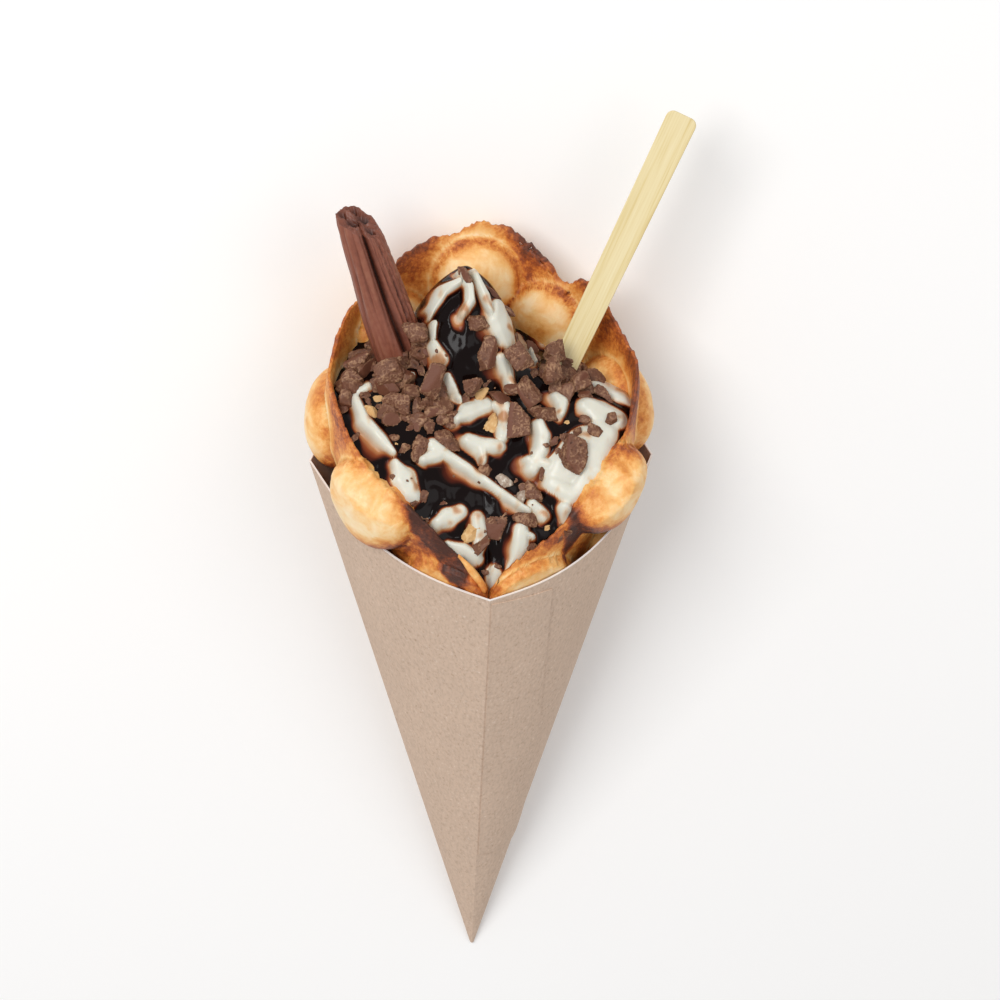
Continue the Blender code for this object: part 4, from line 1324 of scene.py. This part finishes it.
def addChocolate():
    broken = crumbMaterial("broken milk chocolate", "#40251a", "#6d4632", "#a67f60", "#6b402d", 0.55)
    biscuit = crumbMaterial("baked biscuit crumb", "#a06f3c", "#cb9f68", "#e2bf8c", "#cfa672", 0.8)
    coated = crumbMaterial("chocolate under cream", "#5c4334", "#a18d7b", "#d8d1c2", "#8d7867", 0.4)
    for number in range(1, chocolate["nodes"] + 1):
        addNodeChunk(number, broken)
    chunks = []
    for i, place in enumerate(chocolate["chunks"]):
        chunks.append(addLump(place, 5 if place[2] > chocolate["finerFrom"] else 4, 100 + i))
    chunks += [addLump(place, 4, 200 + i) for i, place in enumerate(heapedChunks())]
    finishPiece(joinAs("smallChunks", chunks), [broken])
    crumbs = [addLump(place, 4, 300 + i, 0.7, 0.6) for i, place in enumerate(chocolate["crumbs"])]
    crumbs += [addLump(place, 2, 500 + i, 0.9, 0.2) for place, i in specks()]
    finishPiece(joinAs("chocolateCrumbs", crumbs), [broken])
    bits = [addLump(place, 4, 400 + i, 0.5, 0.8) for i, place in enumerate(chocolate["biscuits"])]
    finishPiece(joinAs("biscuitCrumbs", bits), [biscuit])
    sunk = [addLump(place, 4, 450 + i, 0.75, 0.5) for i, place in enumerate(chocolate["pebbles"])]
    finishPiece(joinAs("creamedPebbles", sunk), [coated])


addChocolate()
print("chocolate and biscuit made")


flake = {
    "foot": Vector((-0.0245, 0.0087, 0.254)),
    "top": Vector((-0.0457, 0.0198, 0.3243)),
    "front": Vector((0, -0.86, 0.5)),  # the way its angle 0 looks
    "radii": (0.0100, 0.0101, 0.0078),  # at the foot, in the middle and at the top
    "flattened": 0.92,  # front to back
    "columns": 240,
    "rows": 160,
    "capShare": 0.14,  # of the rows, for the broken upper end
    "slant": (0.0040, -0.0038),  # of the broken end: up to the right, down to the front
    # folds: angle at the foot and at the top in degrees, width, depth
    "grooves": (
        (-15, 2, 8, 0.0034),
        (-2, 14, 4, 0.0012),
        (-30, -22, 4, 0.0010),
        (-44, -40, 6, 0.0016),
        (-58, -62, 4, 0.0009),
        (22, 34, 3, 0.0007),
        (62, 58, 5, 0.0009),
        (96, 84, 7, 0.0014),
        (140, 150, 8, 0.0020),
        (-110, -100, 8, 0.0018),
        (-160, -150, 7, 0.0016),
        (178, 190, 5, 0.0012),
    ),
    "grain": {"Scale": lumpScale(2.0), "Detail": 4},
    "ripple": 0.00030,
    "crease": 0.00085,  # depth of the long creases between the folds
    # hollows of the broken end: right and back in shares of the radius, width, depth
    "hollows": (
        (0.30, -0.10, 0.22, 0.0042),
        (-0.45, -0.40, 0.20, 0.0040),
        (-0.30, 0.35, 0.24, 0.0046),
        (0.62, 0.40, 0.16, 0.0026),
        (0.0, 0.75, 0.16, 0.0024),
    ),
}


def flakeMaterial():
    # folded milk chocolate: dull satin on the folds, near black in the depths as painted shade
    material, tree, shader = newMaterial("folded milk chocolate")
    depth = addNode(tree, "Attribute", attribute_name="fold").outputs["Fac"]
    place = addNode(tree, "TexCoord").outputs["Object"]
    grain = addNode(tree, "TexNoise", {"Vector": place, **flake["grain"]})
    grainShare = addNode(tree, "MapRange", {"Value": grain.outputs["Fac"], "To Min": -0.14, "To Max": 0.14})
    total = addNode(tree, "Math", {0: depth, 1: grainShare.outputs[0]}, operation="ADD")
    tint = addNode(tree, "ValToRGB", {"Fac": total.outputs[0]})
    brown = fillRamp(tint, ((0.08, "#2c150e"), (0.36, "#5a2f22"), (0.66, "#844c39"), (0.98, "#9c6a50")))
    raised = addNode(tree, "Bump", {"Height": grain.outputs["Fac"], "Strength": 0.35, "Distance": 0.0002})
    setInputs(tree, shader, {"Base Color": brown, "Normal": raised.outputs["Normal"]})
    setInputs(tree, shader, {"Roughness": 0.42, "Specular IOR Level": 0.4})
    return material


def ridged(points, size, seed):
    # noise with sharp creases, 0 in a crease and 1 on a fold
    return np.minimum(1, 2.2 * np.abs(uneven(points, size, seed)))


def flakeShape(angle, along, inwards):
    # radius and fold colour of the side, darker in the grooves and creases as painted shade, and how deep the
    # broken end is hollowed
    foot, middle, top = flake["radii"]
    radius = np.interp(along, (0, 0.45, 1), (foot, middle, top))
    ring = np.stack((np.sin(angle), -np.cos(angle), 0.30 * along), axis=-1)
    radius = radius * (1 + 0.05 * uneven(ring, 0.8, 4.0))
    cut = np.zeros(len(angle))
    for atFoot, atTop, width, depth in flake["grooves"]:
        middleAngle = atFoot + (atTop - atFoot) * along**1.6 + 3 * np.sin(along * 7 + atFoot)
        away = np.abs(np.degrees(wrap(angle - np.radians(middleAngle)))) / width
        fading = 0.45 + 0.55 * ramp(np.sin(along * 5.2 + atFoot * 1.3), -0.6, 0.4)
        fading = np.where(depth > 0.003, 1.0, fading)
        cut = np.maximum(cut, depth * fading * np.exp(-(away**1.3)))
    # long creases follow the main groove, the first of the list, on its left, and fan out on its right
    degrees = np.degrees(wrap(angle)) + 2.5 * uneven(ring, 0.5, 17.0)
    atFoot, atTop = flake["grooves"][0][:2]
    groove = atFoot + (atTop - atFoot) * along**1.6
    fanned = degrees - groove + np.where(degrees > groove, 80 * (along - 0.66), 0)
    creases = np.abs(np.sin(math.pi * fanned / np.where(degrees > groove, 9.5, 8.0)))
    creased = np.where(degrees > groove, smooth(fanned, 14, 4), smooth(degrees, -66, -58))
    creased = np.where(np.abs(degrees) > 88, smooth(np.abs(degrees), 88, 96) * 0.8, creased)
    crease = creased * (1 - creases) ** 2.2 * (0.6 + 0.4 * uneven(ring, 0.4, 23.0))
    cut = np.maximum(cut, flake["crease"] * crease)
    curl = ring * np.array((1, 1, 1.9))
    lines = ridged(curl, 0.16, 6.0)
    grains = ridged(ring * np.array((1, 1, 9)), 0.14, 11.0)
    roughSide = smooth(np.degrees(wrap(angle)), -22, -45) * smooth(np.degrees(wrap(angle)), -95, -70)
    ripple = flake["ripple"] * ((1 - lines) + 1.3 * roughSide * (1 - grains))
    # the fold colour darkens with the depth of the grooves and in the creases of the curled lines: painted
    # shade
    fold = 0.74 - 190 * cut - 0.10 * (1 - lines) + 0.14 * roughSide * (grains - 0.4)
    across = np.sin(angle) * inwards
    back = -np.cos(angle) * inwards
    hollow = 0.0006 * uneven(np.stack((across, back, 0 * across), axis=-1), 0.3, 12.0, 2)
    for right, behind, width, depth in flake["hollows"]:
        hollow = hollow + depth * np.exp(-((np.hypot(across - right, back - behind) / width) ** 2))
    return radius - cut - ripple, fold, hollow


def addFlake():
    piece = addGrid("chocolateFlake", flake["columns"], flake["rows"])
    place = corners(piece)
    angle = place[:, 0] * 2 * math.pi
    length = (flake["top"] - flake["foot"]).length
    along = ramp(place[:, 1], 0, 1 - flake["capShare"])
    inwards = 1 - ramp(place[:, 1], 1 - flake["capShare"], 1)
    radius, fold, hollow = flakeShape(angle, along, inwards)
    onEnd = smooth(inwards, 1.0, 0.86)
    radius = radius * (1 - 0.06 * smooth(along, 0.95, 1.0))
    rightUp, frontDown = flake["slant"]
    slanted = (rightUp * np.sin(angle) + frontDown * np.cos(angle)) * inwards - 0.0010
    onRing = np.stack((np.sin(angle), np.cos(angle), inwards), axis=-1)
    slanted = slanted + 0.0013 * uneven(onRing, 0.35, 9.0, 2)
    height = along * (length + slanted) - hollow * onEnd
    across = radius * np.sin(angle) * inwards
    back = -radius * np.cos(angle) * inwards * flake["flattened"]
    upright = np.stack((across, back, height), axis=-1)
    up = (flake["top"] - flake["foot"]).normalized()
    side = flake["front"].cross(up).normalized()
    axes = np.array((side, side.cross(up), up))
    # on the broken end the colour darkens in the hollows: painted shade
    storeValues(piece, "fold", np.where(inwards < 1, 0.55 - 130 * np.maximum(0, hollow), fold))
    moveCorners(piece, layDown(upright @ axes + np.array(flake["foot"])))
    editMode(piece)
    bpy.ops.mesh.select_all(action="SELECT")
    bpy.ops.mesh.remove_doubles(threshold=0.00001)
    selectWhere(piece, "edges", lambda edge: edge.is_boundary)
    bpy.ops.mesh.edge_face_add()
    turnOutwards()
    objectMode()
    piece.data.shade_smooth()
    return finishPiece(piece, [flakeMaterial()], ("chocolate_flake",))


addFlake()
print("flake made")


bamboo = {
    "edgeRadius": 0.0004,
    "along": Vector((0.0528, 0.032, 0.1127)),  # upright frame
    "drawnOut": (1.0, 1.0, 0.03),
    "fibres": {"Scale": lumpScale(0.7692), "Detail": 3},
    "bands": {"Scale": lumpScale(3.03), "Detail": 2},
}


def bambooMaterial(alongStick):
    # planed bamboo: pale straw with fine darker fibres along the stick, drawn a little coarser than they are
    material, tree, shader = newMaterial("planed bamboo")
    place = addNode(tree, "TexCoord").outputs["Object"]
    straight = addNode(tree, "Mapping", {"Vector": place, "Rotation": alongStick})
    drawnOut = addNode(tree, "Mapping", {"Vector": straight.outputs["Vector"], "Scale": bamboo["drawnOut"]})
    fibre = addNode(tree, "TexNoise", {"Vector": drawnOut.outputs["Vector"], **bamboo["fibres"]})
    band = addNode(tree, "TexNoise", {"Vector": drawnOut.outputs["Vector"], **bamboo["bands"]})
    summed = addNode(tree, "Math", {0: fibre.outputs["Fac"], 1: band.outputs["Fac"]}, operation="ADD")
    halved = addNode(tree, "Math", {0: summed.outputs[0], 1: 0.5}, operation="MULTIPLY")
    tint = addNode(tree, "ValToRGB", {"Fac": halved.outputs[0]})
    straw = fillRamp(tint, ((0.30, "#c9b076"), (0.42, "#d8c48e"), (0.52, "#dfce9f"), (0.68, "#e4d6ac")))
    raised = addNode(tree, "Bump", {"Height": fibre.outputs["Fac"], "Strength": 0.3, "Distance": 0.0001})
    setInputs(tree, shader, {"Base Color": straw, "Normal": raised.outputs["Normal"]})
    setInputs(tree, shader, {"Roughness": 0.6, "Specular IOR Level": 0.35})
    return material


def addBamboo():
    piece = copyNode("bamboo_stick", "bambooStick")
    editMode(piece)
    bpy.ops.mesh.select_all(action="SELECT")
    bpy.ops.mesh.dissolve_limited(angle_limit=math.radians(1))
    turnOutwards()
    objectMode()
    edge = {"width": bamboo["edgeRadius"], "segments": 3, "angle_limit": math.radians(40)}
    applyModifier(piece, "BEVEL", limit_method="ANGLE", **edge)
    along = (rootTurn @ bamboo["along"]).normalized()
    turned = along.rotation_difference(Vector((0, 0, 1))).to_euler()
    return finishPiece(piece, [bambooMaterial(turned)], ("bamboo_stick",))


addBamboo()
print("bamboo made")


print("finishing")
